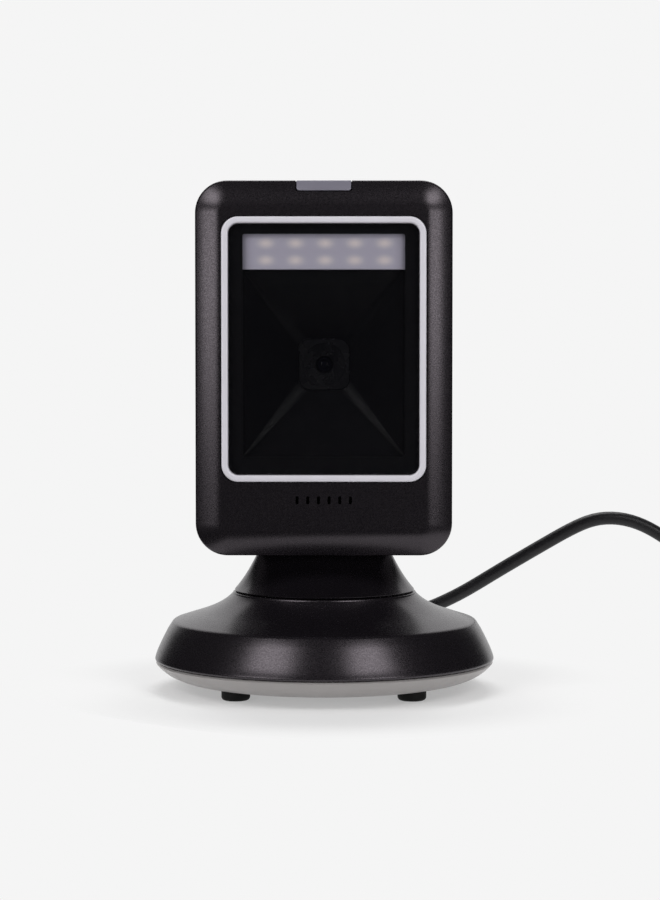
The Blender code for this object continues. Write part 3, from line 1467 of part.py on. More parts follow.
BLACK = new_material("black_plastic", (0.016, 0.015, 0.017), 0.42)
DARK = new_material("dark_inner_plastic", (0.010, 0.010, 0.011), 0.60)
SILVER = new_material("silver_trim", (0.78, 0.78, 0.79), 0.32, 0.85)
PALE = new_material("silver_paint", (0.66, 0.66, 0.67), 0.38, 0.25)
CLEAR_PANE = new_material("clear_pane", (0.02, 0.02, 0.025), 0.05, alpha=0.35)
DIFFUSING = new_material("diffuser", (0.55, 0.53, 0.52), 0.45)
FROSTED = new_material("frosted_light", (0.42, 0.42, 0.43), 0.40)
GLASS = new_material("lens_glass", (0.01, 0.01, 0.015), 0.04)
BOARD = new_material("circuit_board", (0.02, 0.16, 0.07), 0.45)
STEEL = new_material("steel", (0.56, 0.56, 0.58), 0.30, 1.0)
RUBBER = new_material("rubber", (0.020, 0.019, 0.019), 0.75)
JACKET = new_material("cord_jacket", (0.014, 0.013, 0.015), 0.45)
NYLON = new_material("nylon", (0.75, 0.74, 0.70), 0.50)
CORE = new_material("buzzer_body", (0.03, 0.03, 0.03), 0.50)

front_bezel = make_front_bezel()
rear_cover = make_rear_cover()
window_ring, scan_window, window_mask = make_window()
light_diffuser = make_diffuser()
light_baffle = make_baffle()
led_board = make_led_board()
lens_bezel, lens, camera_holder, sensor_board = make_camera()
main_board, *board_screws = make_main_board()
buzzer = make_buzzer()
indicator_light, indicator_board = make_indicator()
head_screws = make_head_screws()
tilt_hardware = make_tilt_hardware()
head_cable = make_head_cable()
neck = make_neck()
swivel_retainer, swivel_screws, swivel_washer = make_swivel()
base_top = make_base_top()
base_bottom = make_base_bottom()
base_weight, base_screws, feet = make_base_fittings()
strain_relief = make_strain_relief()
inner_cable = make_inner_cable()
usb_cord, usb_cord_coil = make_cord()
ties = make_ties()
plug_body, plug_shell, plug_tongue = make_plug()

paint(BLACK, front_bezel, rear_cover, neck, base_top)
paint(DARK, window_mask, light_baffle, lens_bezel, camera_holder)
paint(SILVER, window_ring)
paint(PALE, base_bottom)
paint(CLEAR_PANE, scan_window)
paint(DIFFUSING, light_diffuser)
paint(FROSTED, indicator_light)
paint(GLASS, lens)
paint(BOARD, led_board, sensor_board, main_board, indicator_board)
paint(STEEL, base_weight, swivel_retainer, plug_shell)
paint(STEEL, *tilt_hardware[::3], *tilt_hardware[2::3])
paint(STEEL, *head_screws, *board_screws, *swivel_screws, *base_screws)
paint(NYLON, *tilt_hardware[1::3], swivel_washer, plug_tongue)
paint(RUBBER, *feet, strain_relief, *ties)
paint(JACKET, usb_cord, usb_cord_coil, inner_cable, head_cable, plug_body)
paint(CORE, buzzer)

swivel_axis = joint_axis("swivel_axis", (0, 0, SEAM_HEIGHT))
tilt_axis = joint_axis("tilt_axis", HINGE, swivel_axis)
carry(swivel_axis, [neck, swivel_retainer, *swivel_screws])
carry(tilt_axis, [front_bezel, rear_cover, window_ring, scan_window, window_mask])
carry(tilt_axis, [light_diffuser, light_baffle])
carry(tilt_axis, [led_board, lens_bezel, lens, camera_holder, sensor_board, main_board, buzzer])
carry(tilt_axis, [indicator_light, indicator_board, head_cable, *board_screws, *head_screws, *tilt_hardware])
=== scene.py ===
import json
import math

import bmesh
import bpy
import numpy as np
from mathutils import Matrix, Vector


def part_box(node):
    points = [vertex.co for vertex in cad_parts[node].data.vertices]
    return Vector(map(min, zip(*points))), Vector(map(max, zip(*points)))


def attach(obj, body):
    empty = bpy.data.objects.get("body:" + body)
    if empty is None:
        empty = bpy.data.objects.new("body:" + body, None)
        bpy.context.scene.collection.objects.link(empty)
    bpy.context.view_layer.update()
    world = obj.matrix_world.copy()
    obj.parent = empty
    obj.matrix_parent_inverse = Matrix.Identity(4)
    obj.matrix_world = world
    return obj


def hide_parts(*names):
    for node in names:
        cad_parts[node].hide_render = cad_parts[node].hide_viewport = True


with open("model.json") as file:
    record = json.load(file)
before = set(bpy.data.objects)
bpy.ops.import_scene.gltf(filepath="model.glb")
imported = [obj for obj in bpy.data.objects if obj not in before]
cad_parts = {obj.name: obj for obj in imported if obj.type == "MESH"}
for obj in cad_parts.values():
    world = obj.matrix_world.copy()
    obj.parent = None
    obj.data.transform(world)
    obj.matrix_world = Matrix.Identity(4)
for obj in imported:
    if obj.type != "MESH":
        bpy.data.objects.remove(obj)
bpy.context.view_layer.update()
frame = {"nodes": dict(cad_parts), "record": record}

# Sizes in metres, most of them the solid model's
GAP = 0.0003
HEAD_WIDTH = 0.0756
HEAD_HEIGHT = 0.1102
HEAD_CORNER = 0.0095
HEAD_WALL = 0.0022
FACE_Y = -0.0270
BACK_Y = 0.0240
PARTING_Y = -0.0195
COVER_Y = PARTING_Y + GAP
HINGE_HEIGHT = 0.0565
HEAD_BOTTOM = 0.0425
HEAD_TOP = HEAD_BOTTOM + HEAD_HEIGHT
HEAD_MIDDLE = (HEAD_BOTTOM + HEAD_TOP) / 2
BORDER = 0.0076
BORDER_DROP = 0.00295
BORDER_POWER = 1.6
BORDER_EDGE = 0.0004
PARTING_EDGE = 0.0002
BACK_ROUND = 0.0050
BACK_DRAFT = 0.0006

RING = (0.0300, 0.0644, 0.1420)
RING_BAND = 0.00195
RING_CORNER = 0.0050
RING_FRONT = FACE_Y - 0.0005
RING_BACK = -0.0246
PANE = (RING[0] - RING_BAND, RING[1] + RING_BAND, RING[2] - RING_BAND)
CLEAR = (0.0238, 0.0716, 0.1370)
LIGHTS = (0.0238, 0.1266, 0.1370)
CAMERA = (0.0238, 0.0716, 0.1266)
POCKET_Y = -0.0243
TRAY_Y = -0.0223
FLANGE_Y = -0.0220
LENS_SEAT_Y = -0.0040
LENS_HEIGHT = 0.0987
LENS_PLATE = 0.0156
LENS_PLATE_CORNER = 0.0036
LENS_MOUTH = 0.0064
LENS_HOLE = 0.0026
LENS_RINGS = 8
LENS_STEP = 0.0002
LENS_STEP_WIDTH = 0.00022
LENS_STEPS_DEPTH = 0.0017
LENS_THROUGH = -0.0040
LENS_PLATE_FRONT = -0.0069
LENS_PLATE_BACK = -0.0043
LENS_PLATE_EDGE = 0.0003
LENS_COLLAR = 0.0015
LENS_PLATE_GAP = 0.00005
GLASS_RADIUS = 0.0013
GLASS_BULGE = 0.0003
LENS_BARREL = [
    (0.0013, 0.0011),
    (0.0015, 0.0013),
    (0.0019, 0.0013),
    (0.0021, 0.0011),
    (0.0021, 0),
    (0.0045, 0),
    (0.0045, -0.0065),
    (0, -0.0065),
]

INDICATOR = (0.0080, 0.1496, 0.1557)
NOTCH = (0.0083, 0.1493, 0.1560)
NOTCH_CORNER = 0.0008
NOTCH_Y = (-0.0300, -0.0165)
SOUND_SLOTS = 6
SOUND_PITCH = 0.00313
SOUND_HEIGHT = 0.0590
SOUND_SIZE = (0.0009, 0.00235)
SOUND_CORNER = 0.0004
SOUND_Y = (-0.0300, -0.0245)
TRAY_CORNER = 0.0072
TRAY_WALL = 0.0022
STRIP = (0.0247, LIGHTS[1], 0.1379)
STRIP_CORNER = 0.0005
STRIP_EDGE = 0.0002
STRIP_Y = (-0.0238, -0.0236, -0.0223)
PANE_EDGE = 0.00015
PANE_Y = (-0.02655, -0.0264, -0.0253)
MASK_CORNER = 0.0006
MASK_Y = (-0.0250, -0.0246)
FLANGE = (0.0257, 0.0697, 0.1389)
FUNNEL_CORNER = 0.0005
FUNNEL_WALL = 0.0006
FUNNEL_OPEN_Y = -0.0250
FUNNEL_END_Y = -0.0066
FLANGE_BACK_Y = -0.0200
SHELL_Y = -0.0210
LIGHT_BOX_Y = -0.0120
COLLAR_BACK_Y = -0.0026

SCREW_X = 0.0293
SCREW_LOW = 0.0661
SCREW_HIGH = 0.1425
SCREW_SEAT_Y = -0.0162
WELL_RADIUS = 0.0024
TOWER_RADIUS = 0.0035
SCREW_HOLE = 0.0016
HEAD_SCREWS = [(x, z) for z in (SCREW_LOW, SCREW_HIGH) for x in (-SCREW_X, SCREW_X)]
HEAD_SCREW_LENGTH = 0.0071
BASE_SCREW_LENGTH = 0.0075
BASE_SCREW_SEAT = 0.0043
SCREW_HEAD = [
    (0, 0.0015),
    (0.0011, 0.00145),
    (0.0017, 0.0012),
    (0.0020, 0.0008),
    (0.0021, 0.0004),
    (0.0021, 0),
]
SHANK_RADIUS = 0.0013
CROSS_HALF_LENGTH = 0.0012
CROSS_HALF_WIDTH = 0.00022

SLOT_HALF = 0.0228
CHEEK_OUTER = 0.0252
ROOF_RADIUS = 0.0121
SLOT_FRONT = -0.0170
SLOT_TOP = 0.0595
PIN_RADIUS = 0.0028
COVER_PIN_HALF = 0.0282
NECK_PIN_HALF = 0.0250
BARREL_RADIUS = 0.0115
BARREL_HALF = 0.0216
NECK_HALF_WIDTH = 0.0180
NECK_HALF_DEPTH = 0.0109
NECK_STRAIGHT = 0.0470
NECK_FLARE_HEIGHT = 0.0361

SEAM_RADIUS = 0.0276
SEAM_EDGE = 0.0004
SEAM_STEP = 0.0003
NECK_BOTTOM = 0.02995
SEAT_TOP = 0.02965
BASE_RADIUS = 0.0516
SHOULDER = (0.0461, 0.0209)
SHOULDER_ROUND = 0.0007
LIP = (0.0477, 0.0184)
CONE_START = 0.0385
CONE_SLOPE = 0.319
FLARE_SLOPE = 1.10
PARTING_HEIGHT = 0.0090
FOOT_HEIGHT = 0.0028
FOOT_CIRCLE = 0.0367
FOOT_RADIUS = 0.00425
FOOT_ROUND = 0.0011
FOOT_TOP = 0.0033
BASE_SCREW_CIRCLE = 0.0330
BOOT_HEIGHT = 0.0142
BOOT_FLANGE = 0.0045
BOOT_NECK = 0.0034
BOOT_WIDE = 0.0043
BOOT_NARROW = 0.0030
BOOT_RIBS = 4
BOOT_GROOVE = 0.00045

CORD_RADIUS = 0.00225
COIL_X = 0.1600
COIL_Y = 0.0600
COIL_RADIUS = 0.0246
COIL_TURNS = 8.25
COIL_LAYERS = 4
COIL_PITCH = 0.0050
COIL_TAIL = 0.0180
COIL_HEIGHT = 0.0039
CORD_SPACING = 0.0022
TIE_ANGLES = (15, 195)
TIE_ROOM = 0.0004
TIE_THICKNESS = 0.0009
TIE_HALF_WIDTH = 0.0020
TIE_EDGE = 0.0002

PLUG_CORNER = 0.0016
PLUG_EDGE = 0.0007
PLUG_RELIEF = 0.0080
PLUG_GROOVES = 5
PLUG_GROOVE_PITCH = 0.0018
PLUG_GROOVE = ((0.0, 0.0), (0.0002, 0.0004), (0.0007, 0.0004), (0.0009, 0.0))
SHELL_THICKNESS = 0.0003
SHELL_EDGE = 0.00015
LATCH_X = 0.0031
LATCH_HALF = (0.00115, 0.0012, 0.004)
CONTACT_HALF_WIDTH = 0.0005

CORD_ROUTE = [
    (0.0000, 0.0703, 0.0142),
    (0.0000, 0.0748, 0.0142),
    (0.0015, 0.0824, 0.0141),
    (0.0059, 0.0889, 0.0137),
    (0.0124, 0.0932, 0.0129),
    (0.0200, 0.0947, 0.0122),
    (0.0270, 0.0949, 0.0121),
    (0.0340, 0.0946, 0.0133),
    (0.0400, 0.0942, 0.0157),
    (0.0468, 0.0940, 0.0191),
    (0.0571, 0.0940, 0.0252),
    (0.0675, 0.0940, 0.0314),
    (0.0778, 0.0940, 0.0374),
    (0.0861, 0.0940, 0.0419),
    (0.0923, 0.0939, 0.0443),
    (0.0975, 0.0938, 0.0450),
    (0.1027, 0.0936, 0.0446),
    (0.1085, 0.0932, 0.0429),
    (0.1145, 0.0927, 0.0398),
    (0.1205, 0.0920, 0.0357),
    (0.1265, 0.0911, 0.0312),
    (0.1325, 0.0902, 0.0269),
    (0.1385, 0.0895, 0.0232),
    (0.1445, 0.0890, 0.0206),
    (0.1500, 0.0888, 0.0192),
    (0.1552, 0.0888, 0.0189),
]

# How far a cutting shape reaches past what it cuts
PAST = 0.003
PAST_OPENING = 0.004
PAST_JOINT = 0.002

# Smoothness of the dressed pieces
CORNER = 14
ROUND = 144

# Glows painted into the light strip's colour, over five lights in each of two rows
GLOW_SHIFT = 0.0004
GLOW_COLUMN = 0.0087
GLOW_ROW = 0.0050
GLOW_OUTERMOST = 2.49
GLOW_ACROSS = 5.4
GLOW_ALONG = 5.0
GLOW_REACH = 2.7
GLOW_POWER = 1.6
PAINTED_GLOW_COLOUR = (1.0, 0.90, 0.90, 1.0)
STRIP_COLOUR = (0.61, 0.58, 0.71, 1.0)
# painted shade for the strip's recessed ends
STRIP_END_PAINTED_SHADE = (0.40, 0.38, 0.47, 1.0)
STRIP_END = 0.0246
STRIP_FULL = 0.0200


# Materials


def material_nodes(name):
    material = bpy.data.materials.new(name)
    material.use_nodes = True
    tree = material.node_tree
    return material, tree.nodes, tree.links, tree.nodes["Principled BSDF"]


def noise(nodes, links, scale, detail):
    place = nodes.new("ShaderNodeTexCoord")
    texture = nodes.new("ShaderNodeTexNoise")
    texture.inputs["Scale"].default_value = scale
    texture.inputs["Detail"].default_value = detail
    links.new(place.outputs["Object"], texture.inputs["Vector"])
    return texture.outputs["Fac"]


def mixed_colour(nodes, links, factor, first, second):
    """A mix of two colours, each fixed or from another node."""
    node = nodes.new("ShaderNodeMix")
    node.data_type = "RGBA"
    links.new(factor, node.inputs[0])
    for index, colour in ((6, first), (7, second)):
        if isinstance(colour, tuple):
            node.inputs[index].default_value = colour
        else:
            links.new(colour, node.inputs[index])
    return node.outputs[2]


def add_grain(nodes, links, shader, scale, relief):
    bump = nodes.new("ShaderNodeBump")
    bump.inputs["Strength"].default_value = 1.0
    bump.inputs["Distance"].default_value = relief
    links.new(noise(nodes, links, scale, 2.0), bump.inputs["Height"])
    links.new(bump.outputs["Normal"], shader.inputs["Normal"])


def surface(
    name, colour, roughness, grain=2600.0, relief=0.000008, mottle=0.10, spread=0.06, patch=240.0, **sockets
):
    """A moulded or finished surface: cloudy colour, uneven gloss and a fine grain."""
    material, nodes, links, shader = material_nodes(name)
    dark = (*[c * (1 - mottle) for c in colour], 1.0)
    light = (*[min(c * (1 + mottle), 1.0) for c in colour], 1.0)
    tint = mixed_colour(nodes, links, noise(nodes, links, 70.0, 3.0), dark, light)
    links.new(tint, shader.inputs["Base Color"])
    gloss = nodes.new("ShaderNodeMapRange")
    gloss.inputs["From Min"].default_value = 0.3
    gloss.inputs["From Max"].default_value = 0.7
    gloss.inputs["To Min"].default_value = max(roughness - spread, 0.02)
    gloss.inputs["To Max"].default_value = min(roughness + spread, 1.0)
    links.new(noise(nodes, links, patch, 4.0), gloss.inputs["Value"])
    links.new(gloss.outputs["Result"], shader.inputs["Roughness"])
    add_grain(nodes, links, shader, grain, relief)
    for socket, value in sockets.items():
        shader.inputs[socket.replace("_", " ")].default_value = value
    return material


def maths(nodes, links, operation, first, second=None, third=None):
    node = nodes.new("ShaderNodeMath")
    node.operation = operation
    for socket, value in zip(node.inputs, (first, second, third)):
        if value is None:
            continue
        if isinstance(value, (int, float)):
            socket.default_value = value
        else:
            links.new(value, socket)
    return node.outputs[0]


def ramp(nodes, links, value, start, end):
    """A smooth rise from 0 at one value to 1 at another."""
    node = nodes.new("ShaderNodeMapRange")
    node.interpolation_type = "SMOOTHSTEP"
    low, high = min(start, end), max(start, end)
    node.inputs["From Min"].default_value = low
    node.inputs["From Max"].default_value = high
    node.inputs["To Min"].default_value = 0.0 if start < end else 1.0
    node.inputs["To Max"].default_value = 1.0 if start < end else 0.0
    links.new(value, node.inputs["Value"])
    return node.outputs["Result"]


def diffuser_surface(name):
    """Milky strip with soft warm glows painted into its colour, one over each light behind it, and painted
    shade darkening its recessed ends.
    """
    material, nodes, links, shader = material_nodes(name)

    def work(operation, *values):
        return maths(nodes, links, operation, *values)

    place = nodes.new("ShaderNodeTexCoord")
    split = nodes.new("ShaderNodeSeparateXYZ")
    links.new(place.outputs["Object"], split.inputs[0])
    column = work("DIVIDE", work("SUBTRACT", split.outputs["X"], GLOW_SHIFT), GLOW_COLUMN)
    column = work("MAXIMUM", work("MINIMUM", column, GLOW_OUTERMOST), -GLOW_OUTERMOST)
    column = work("WRAP", column, 0.5, -0.5)
    row = work("SUBTRACT", split.outputs["Z"], (LIGHTS[1] + LIGHTS[2]) / 2)
    row = work("WRAP", work("DIVIDE", row, GLOW_ROW), 1.0, 0.0)
    row = work("SUBTRACT", row, 0.5)
    across = work("MULTIPLY", column, GLOW_ACROSS)
    along = work("MULTIPLY", row, GLOW_ALONG)
    away = work("SQRT", work("ADD", work("MULTIPLY", across, across), work("MULTIPLY", along, along)))
    # painted glows: the colour lightens towards warm white round each light's place
    painted_glow = work("POWER", ramp(nodes, links, away, GLOW_REACH, 0.0), GLOW_POWER)
    tint = mixed_colour(nodes, links, painted_glow, STRIP_COLOUR, PAINTED_GLOW_COLOUR)
    # painted shade: the colour darkens towards the recessed ends of the strip
    clear_of_end_shade = ramp(nodes, links, work("ABSOLUTE", split.outputs["X"]), STRIP_END, STRIP_FULL)
    whole = mixed_colour(nodes, links, clear_of_end_shade, STRIP_END_PAINTED_SHADE, tint)
    links.new(whole, shader.inputs["Base Color"])
    add_grain(nodes, links, shader, 1500.0, 0.00002)
    shader.inputs["Roughness"].default_value = 0.5
    return material


BLACK = surface(
    "black_plastic",
    (0.0060, 0.0050, 0.0066),
    0.28,
    relief=0.000009,
    spread=0.055,
    patch=2200.0,
    Specular_IOR_Level=0.72,
    Specular_Tint=(1.0, 0.89, 0.98, 1.0),
)
INNER = surface("inner_plastic", (0.0040, 0.0038, 0.0054), 0.46, mottle=0.2, Specular_IOR_Level=0.16)
SATIN = surface("lens_satin", (0.0070, 0.0068, 0.0090), 0.26, Specular_IOR_Level=0.60)
SILVER = surface(
    "silver_trim", (0.76, 0.74, 0.80), 0.42, grain=4000.0, relief=0.000006, mottle=0.04, Metallic=0.15
)
PALE = surface(
    "silver_paint", (0.42, 0.40, 0.395), 0.36, grain=5000.0, relief=0.000004, mottle=0.03, Metallic=0.35
)
WINDOW = surface(
    "clear_pane", (0.003, 0.003, 0.004), 0.04, grain=300.0, relief=0.000001, spread=0.02, Alpha=0.16, IOR=1.5
)
DIFFUSER = diffuser_surface("light_strip")
FROSTED = surface("frosted_light", (0.205, 0.195, 0.245), 0.42, mottle=0.06, Transmission_Weight=0.15)
GLASS = surface(
    "lens_glass", (0.004, 0.004, 0.007), 0.12, relief=0.000001, spread=0.02, Specular_IOR_Level=0.30
)
BOARD = surface("circuit_board", (0.02, 0.16, 0.07), 0.45, mottle=0.25)
STEEL = surface("steel", (0.56, 0.56, 0.58), 0.30, grain=3000.0, relief=0.000004, Metallic=1.0)
IRON = surface("weight_iron", (0.18, 0.18, 0.19), 0.55, relief=0.00003, Metallic=0.9)
NYLON = surface("nylon", (0.72, 0.71, 0.67), 0.50)
RUBBER = surface(
    "rubber", (0.0045, 0.0042, 0.0042), 0.60, relief=0.00002, spread=0.1, Specular_IOR_Level=0.20
)
JACKET = surface("cord_jacket", (0.0062, 0.0056, 0.0072), 0.44, grain=1800.0, Specular_IOR_Level=0.40)
GOLD = surface("gold_contacts", (0.85, 0.60, 0.22), 0.25, Metallic=1.0)

SLOTS = {
    "black_plastic": BLACK,
    "inner_plastic": INNER,
    "silver_trim": SILVER,
    "silver_paint": PALE,
    "clear_pane": WINDOW,
    "diffuser": DIFFUSER,
    "frosted_light": FROSTED,
    "lens_glass": GLASS,
    "circuit_board": BOARD,
    "steel": STEEL,
    "weight_iron": IRON,
    "nylon": NYLON,
    "rubber": RUBBER,
    "cord_jacket": JACKET,
}


# Shapes


def shade(mesh, angle=35.0):
    mesh.shade_smooth()
    mesh.set_sharp_from_angle(angle=math.radians(angle))


def mesh_piece(name, bm, place=None):
    if place is not None:
        bm.transform(place)
    bmesh.ops.recalc_face_normals(bm, faces=bm.faces)
    mesh = bpy.data.meshes.new(name)
    bm.to_mesh(mesh)
    bm.free()
    shade(mesh)
    obj = bpy.data.objects.new(name, mesh)
    bpy.context.scene.collection.objects.link(obj)
    return obj


def rounded_rectangle(width, height, corner, steps=CORNER):
    points = []
    for quarter, (side, rise) in enumerate(((1, 1), (-1, 1), (-1, -1), (1, -1))):
        u = side * (width / 2 - corner)
        v = rise * (height / 2 - corner)
        for step in range(steps + 1):
            angle = math.pi / 2 * (quarter + step / steps)
            points.append((u + corner * math.cos(angle), v + corner * math.sin(angle)))
    return points


def bezier(start, control, end, steps):
    a, b, c = (np.array(point) for point in (start, control, end))
    return [tuple((1 - t) ** 2 * a + 2 * t * (1 - t) * b + t**2 * c) for t in np.linspace(0, 1, steps + 1)]


def quarter(centre, radius, start, end, steps=6):
    """An arc in a profile, from one angle in degrees to another."""
    angles = np.radians(np.linspace(start, end, steps + 1))
    return [(centre[0] + radius * math.cos(a), centre[1] + radius * math.sin(a)) for a in angles]


def panel_ring(panel, y, corner, grow=0.0, steps=CORNER):
    half, low, high = panel[0] + grow, panel[1] - grow, panel[2] + grow
    middle = (low + high) / 2
    return [(u, y, middle + v) for u, v in rounded_rectangle(2 * half, high - low, corner, steps)]


def panel_block(name, panel, depths, corner, grow=0.0, steps=CORNER):
    """A block with a panel's outline, from one depth to another."""
    return loft(name, [panel_ring(panel, y, corner, grow, steps) for y in depths])


def head_ring(depth_in, y):
    corner = max(HEAD_CORNER - depth_in, 0.0005)
    outline = rounded_rectangle(HEAD_WIDTH - 2 * depth_in, HEAD_HEIGHT - 2 * depth_in, corner)
    return [(u, y, HEAD_MIDDLE + v) for u, v in outline]


def loft(name, rings, loop=False, place=None):
    """A skin through rings of points, with flat ends, or closed on itself like a frame."""
    bm = bmesh.new()
    loops = [[bm.verts.new(point) for point in ring] for ring in rings]
    pairs = list(zip(loops, loops[1:]))
    if loop:
        pairs.append((loops[-1], loops[0]))
    else:
        bm.faces.new(loops[0])
        bm.faces.new(loops[-1])
    for near, far in pairs:
        for i in range(len(near)):
            j = (i + 1) % len(near)
            bm.faces.new((near[i], near[j], far[j], far[i]))
    return mesh_piece(name, bm, place)


UPRIGHT = Matrix.Identity(4)
TO_BACK = Matrix.Rotation(-math.pi / 2, 4, "X")
TO_FRONT = Matrix.Rotation(math.pi / 2, 4, "X")
TO_RIGHT = Matrix.Rotation(math.pi / 2, 4, "Y")


def turned(name, profile, at=(0, 0, 0), turn=UPRIGHT, steps=ROUND, ring=False):
    """A profile of (radius, height) points swept round an axis."""
    bm = bmesh.new()
    loops = []
    for r, h in profile:
        if r < 1e-7:
            loops.append([bm.verts.new((0, 0, h))])
            continue
        angles = [2 * math.pi * i / steps for i in range(steps)]
        loops.append([bm.verts.new((r * math.cos(a), r * math.sin(a), h)) for a in angles])
    pairs = list(zip(loops, loops[1:]))
    if ring:
        pairs.append((loops[-1], loops[0]))
    for near, far in pairs:
        for i in range(steps):
            j = (i + 1) % steps
            corners = [near[i % len(near)], near[j % len(near)], far[j % len(far)], far[i % len(far)]]
            face = list(dict.fromkeys(corners))
            if len(face) > 2:
                bm.faces.new(face)
    return mesh_piece(name, bm, Matrix.Translation(at) @ turn)


def rod(name, radius, start, length, turn=UPRIGHT, steps=48):
    return turned(name, [(0, length), (radius, length), (radius, 0), (0, 0)], start, turn, steps)


def block(name, low, high):
    bm = bmesh.new()
    place = Matrix.Translation([(a + b) / 2 for a, b in zip(low, high)])
    size = Matrix.Diagonal([b - a for a, b in zip(low, high)]).to_4x4()
    bmesh.ops.create_cube(bm, size=1.0, matrix=place @ size)
    return mesh_piece(name, bm)


def settle(obj, angle=35.0):
    """Turns the piece's modifiers into its mesh."""
    bpy.context.view_layer.update()
    graph = bpy.context.evaluated_depsgraph_get()
    mesh = bpy.data.meshes.new_from_object(obj.evaluated_get(graph))
    obj.modifiers.clear()
    obj.data = mesh
    shade(mesh, angle)
    return obj


def shaped(target, operation, *tools):
    for tool in tools:
        modifier = target.modifiers.new(tool.name, "BOOLEAN")
        modifier.object = tool
        modifier.operation = operation
        modifier.solver = "EXACT"
    settle(target)
    for tool in tools:
        bpy.data.objects.remove(tool, do_unlink=True)
    return target


def join(target, *tools):
    return shaped(target, "UNION", *tools)


def cut(target, *tools):
    return shaped(target, "DIFFERENCE", *tools)


def soften(obj, width, segments=3, angle=40.0):
    bevel = obj.modifiers.new("Rounded edges", "BEVEL")
    bevel.width = width
    bevel.segments = segments
    bevel.limit_method = "ANGLE"
    bevel.angle_limit = math.radians(angle)
    bevel.harden_normals = False
    return settle(obj, 50.0)


def dress(obj, body, slot, *nodes):
    """Gives a piece its finish, its body and the solids that it stands for."""
    obj.data.materials.clear()
    obj.data.materials.append(SLOTS[slot])
    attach(obj, body)
    if nodes:
        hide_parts(*nodes)
    return obj


# Head


def front_rings():
    """Rings of the front half: the curved border, a small rounded edge and the side wall."""
    steps = 26
    rings = []
    for step in range(steps + 1):
        out = (BORDER - BORDER_EDGE) * step / steps
        rings.append((BORDER - out, FACE_Y + BORDER_DROP * (out / BORDER) ** BORDER_POWER))
    edge = rings[-1][1]
    slope = BORDER_DROP * BORDER_POWER / BORDER
    rings += bezier(rings[-1], (0.0, edge + slope * BORDER_EDGE), (0.0, edge + 2 * BORDER_EDGE), 4)[1:]
    rings += quarter((PARTING_EDGE, PARTING_Y - PARTING_EDGE), PARTING_EDGE, 180, 90, 3)
    return [head_ring(max(inset, 0.0), y) for inset, y in rings]


def make_bezel():
    bezel = loft("bezel_shell", front_rings())
    hollow = [(0.0065, FACE_Y + HEAD_WALL), (HEAD_WALL, -0.0214), (HEAD_WALL, -0.0160)]
    cut(bezel, loft("hollow", [head_ring(inset, y) for inset, y in hollow]))
    join(bezel, panel_block("tray", RING, (FACE_Y + HEAD_WALL / 2, TRAY_Y), TRAY_CORNER, TRAY_WALL))
    tools = [
        panel_block("pocket", RING, (FACE_Y - PAST, POCKET_Y), RING_CORNER + GAP, GAP),
        panel_block("opening", CLEAR, (FACE_Y - PAST_OPENING, TRAY_Y + PAST), 0.0005, 0.0012, 3),
        panel_block("notch", NOTCH, NOTCH_Y, NOTCH_CORNER, 0.0, 5),
    ]
    outline = rounded_rectangle(*SOUND_SIZE, SOUND_CORNER, 5)
    for i in range(SOUND_SLOTS):
        x = (i - (SOUND_SLOTS - 1) / 2) * SOUND_PITCH
        rings = [[(x + u, y, SOUND_HEIGHT + v) for u, v in outline] for y in SOUND_Y]
        tools.append(loft(f"sound_{i}", rings))
    cut(bezel, *tools)
    return dress(bezel, "head", "black_plastic", "front_bezel")


def make_indicator():
    light = loft("indicator_lens", front_rings())
    shape = panel_block("shape", INDICATOR, NOTCH_Y, NOTCH_CORNER, 0.0, 6)
    shaped(light, "INTERSECT", shape)
    soften(light, 0.00025, 2)
    return dress(light, "head", "frosted_light", "indicator_light")


def back_edge(inset, radius, steps):
    """The rounded edge between a side wall and the back."""
    angles = np.linspace(0, math.pi / 2, steps + 1)[1:]
    start = BACK_Y - BACK_ROUND
    return [(inset + radius * (1 - math.cos(a)), start + radius * math.sin(a)) for a in angles]


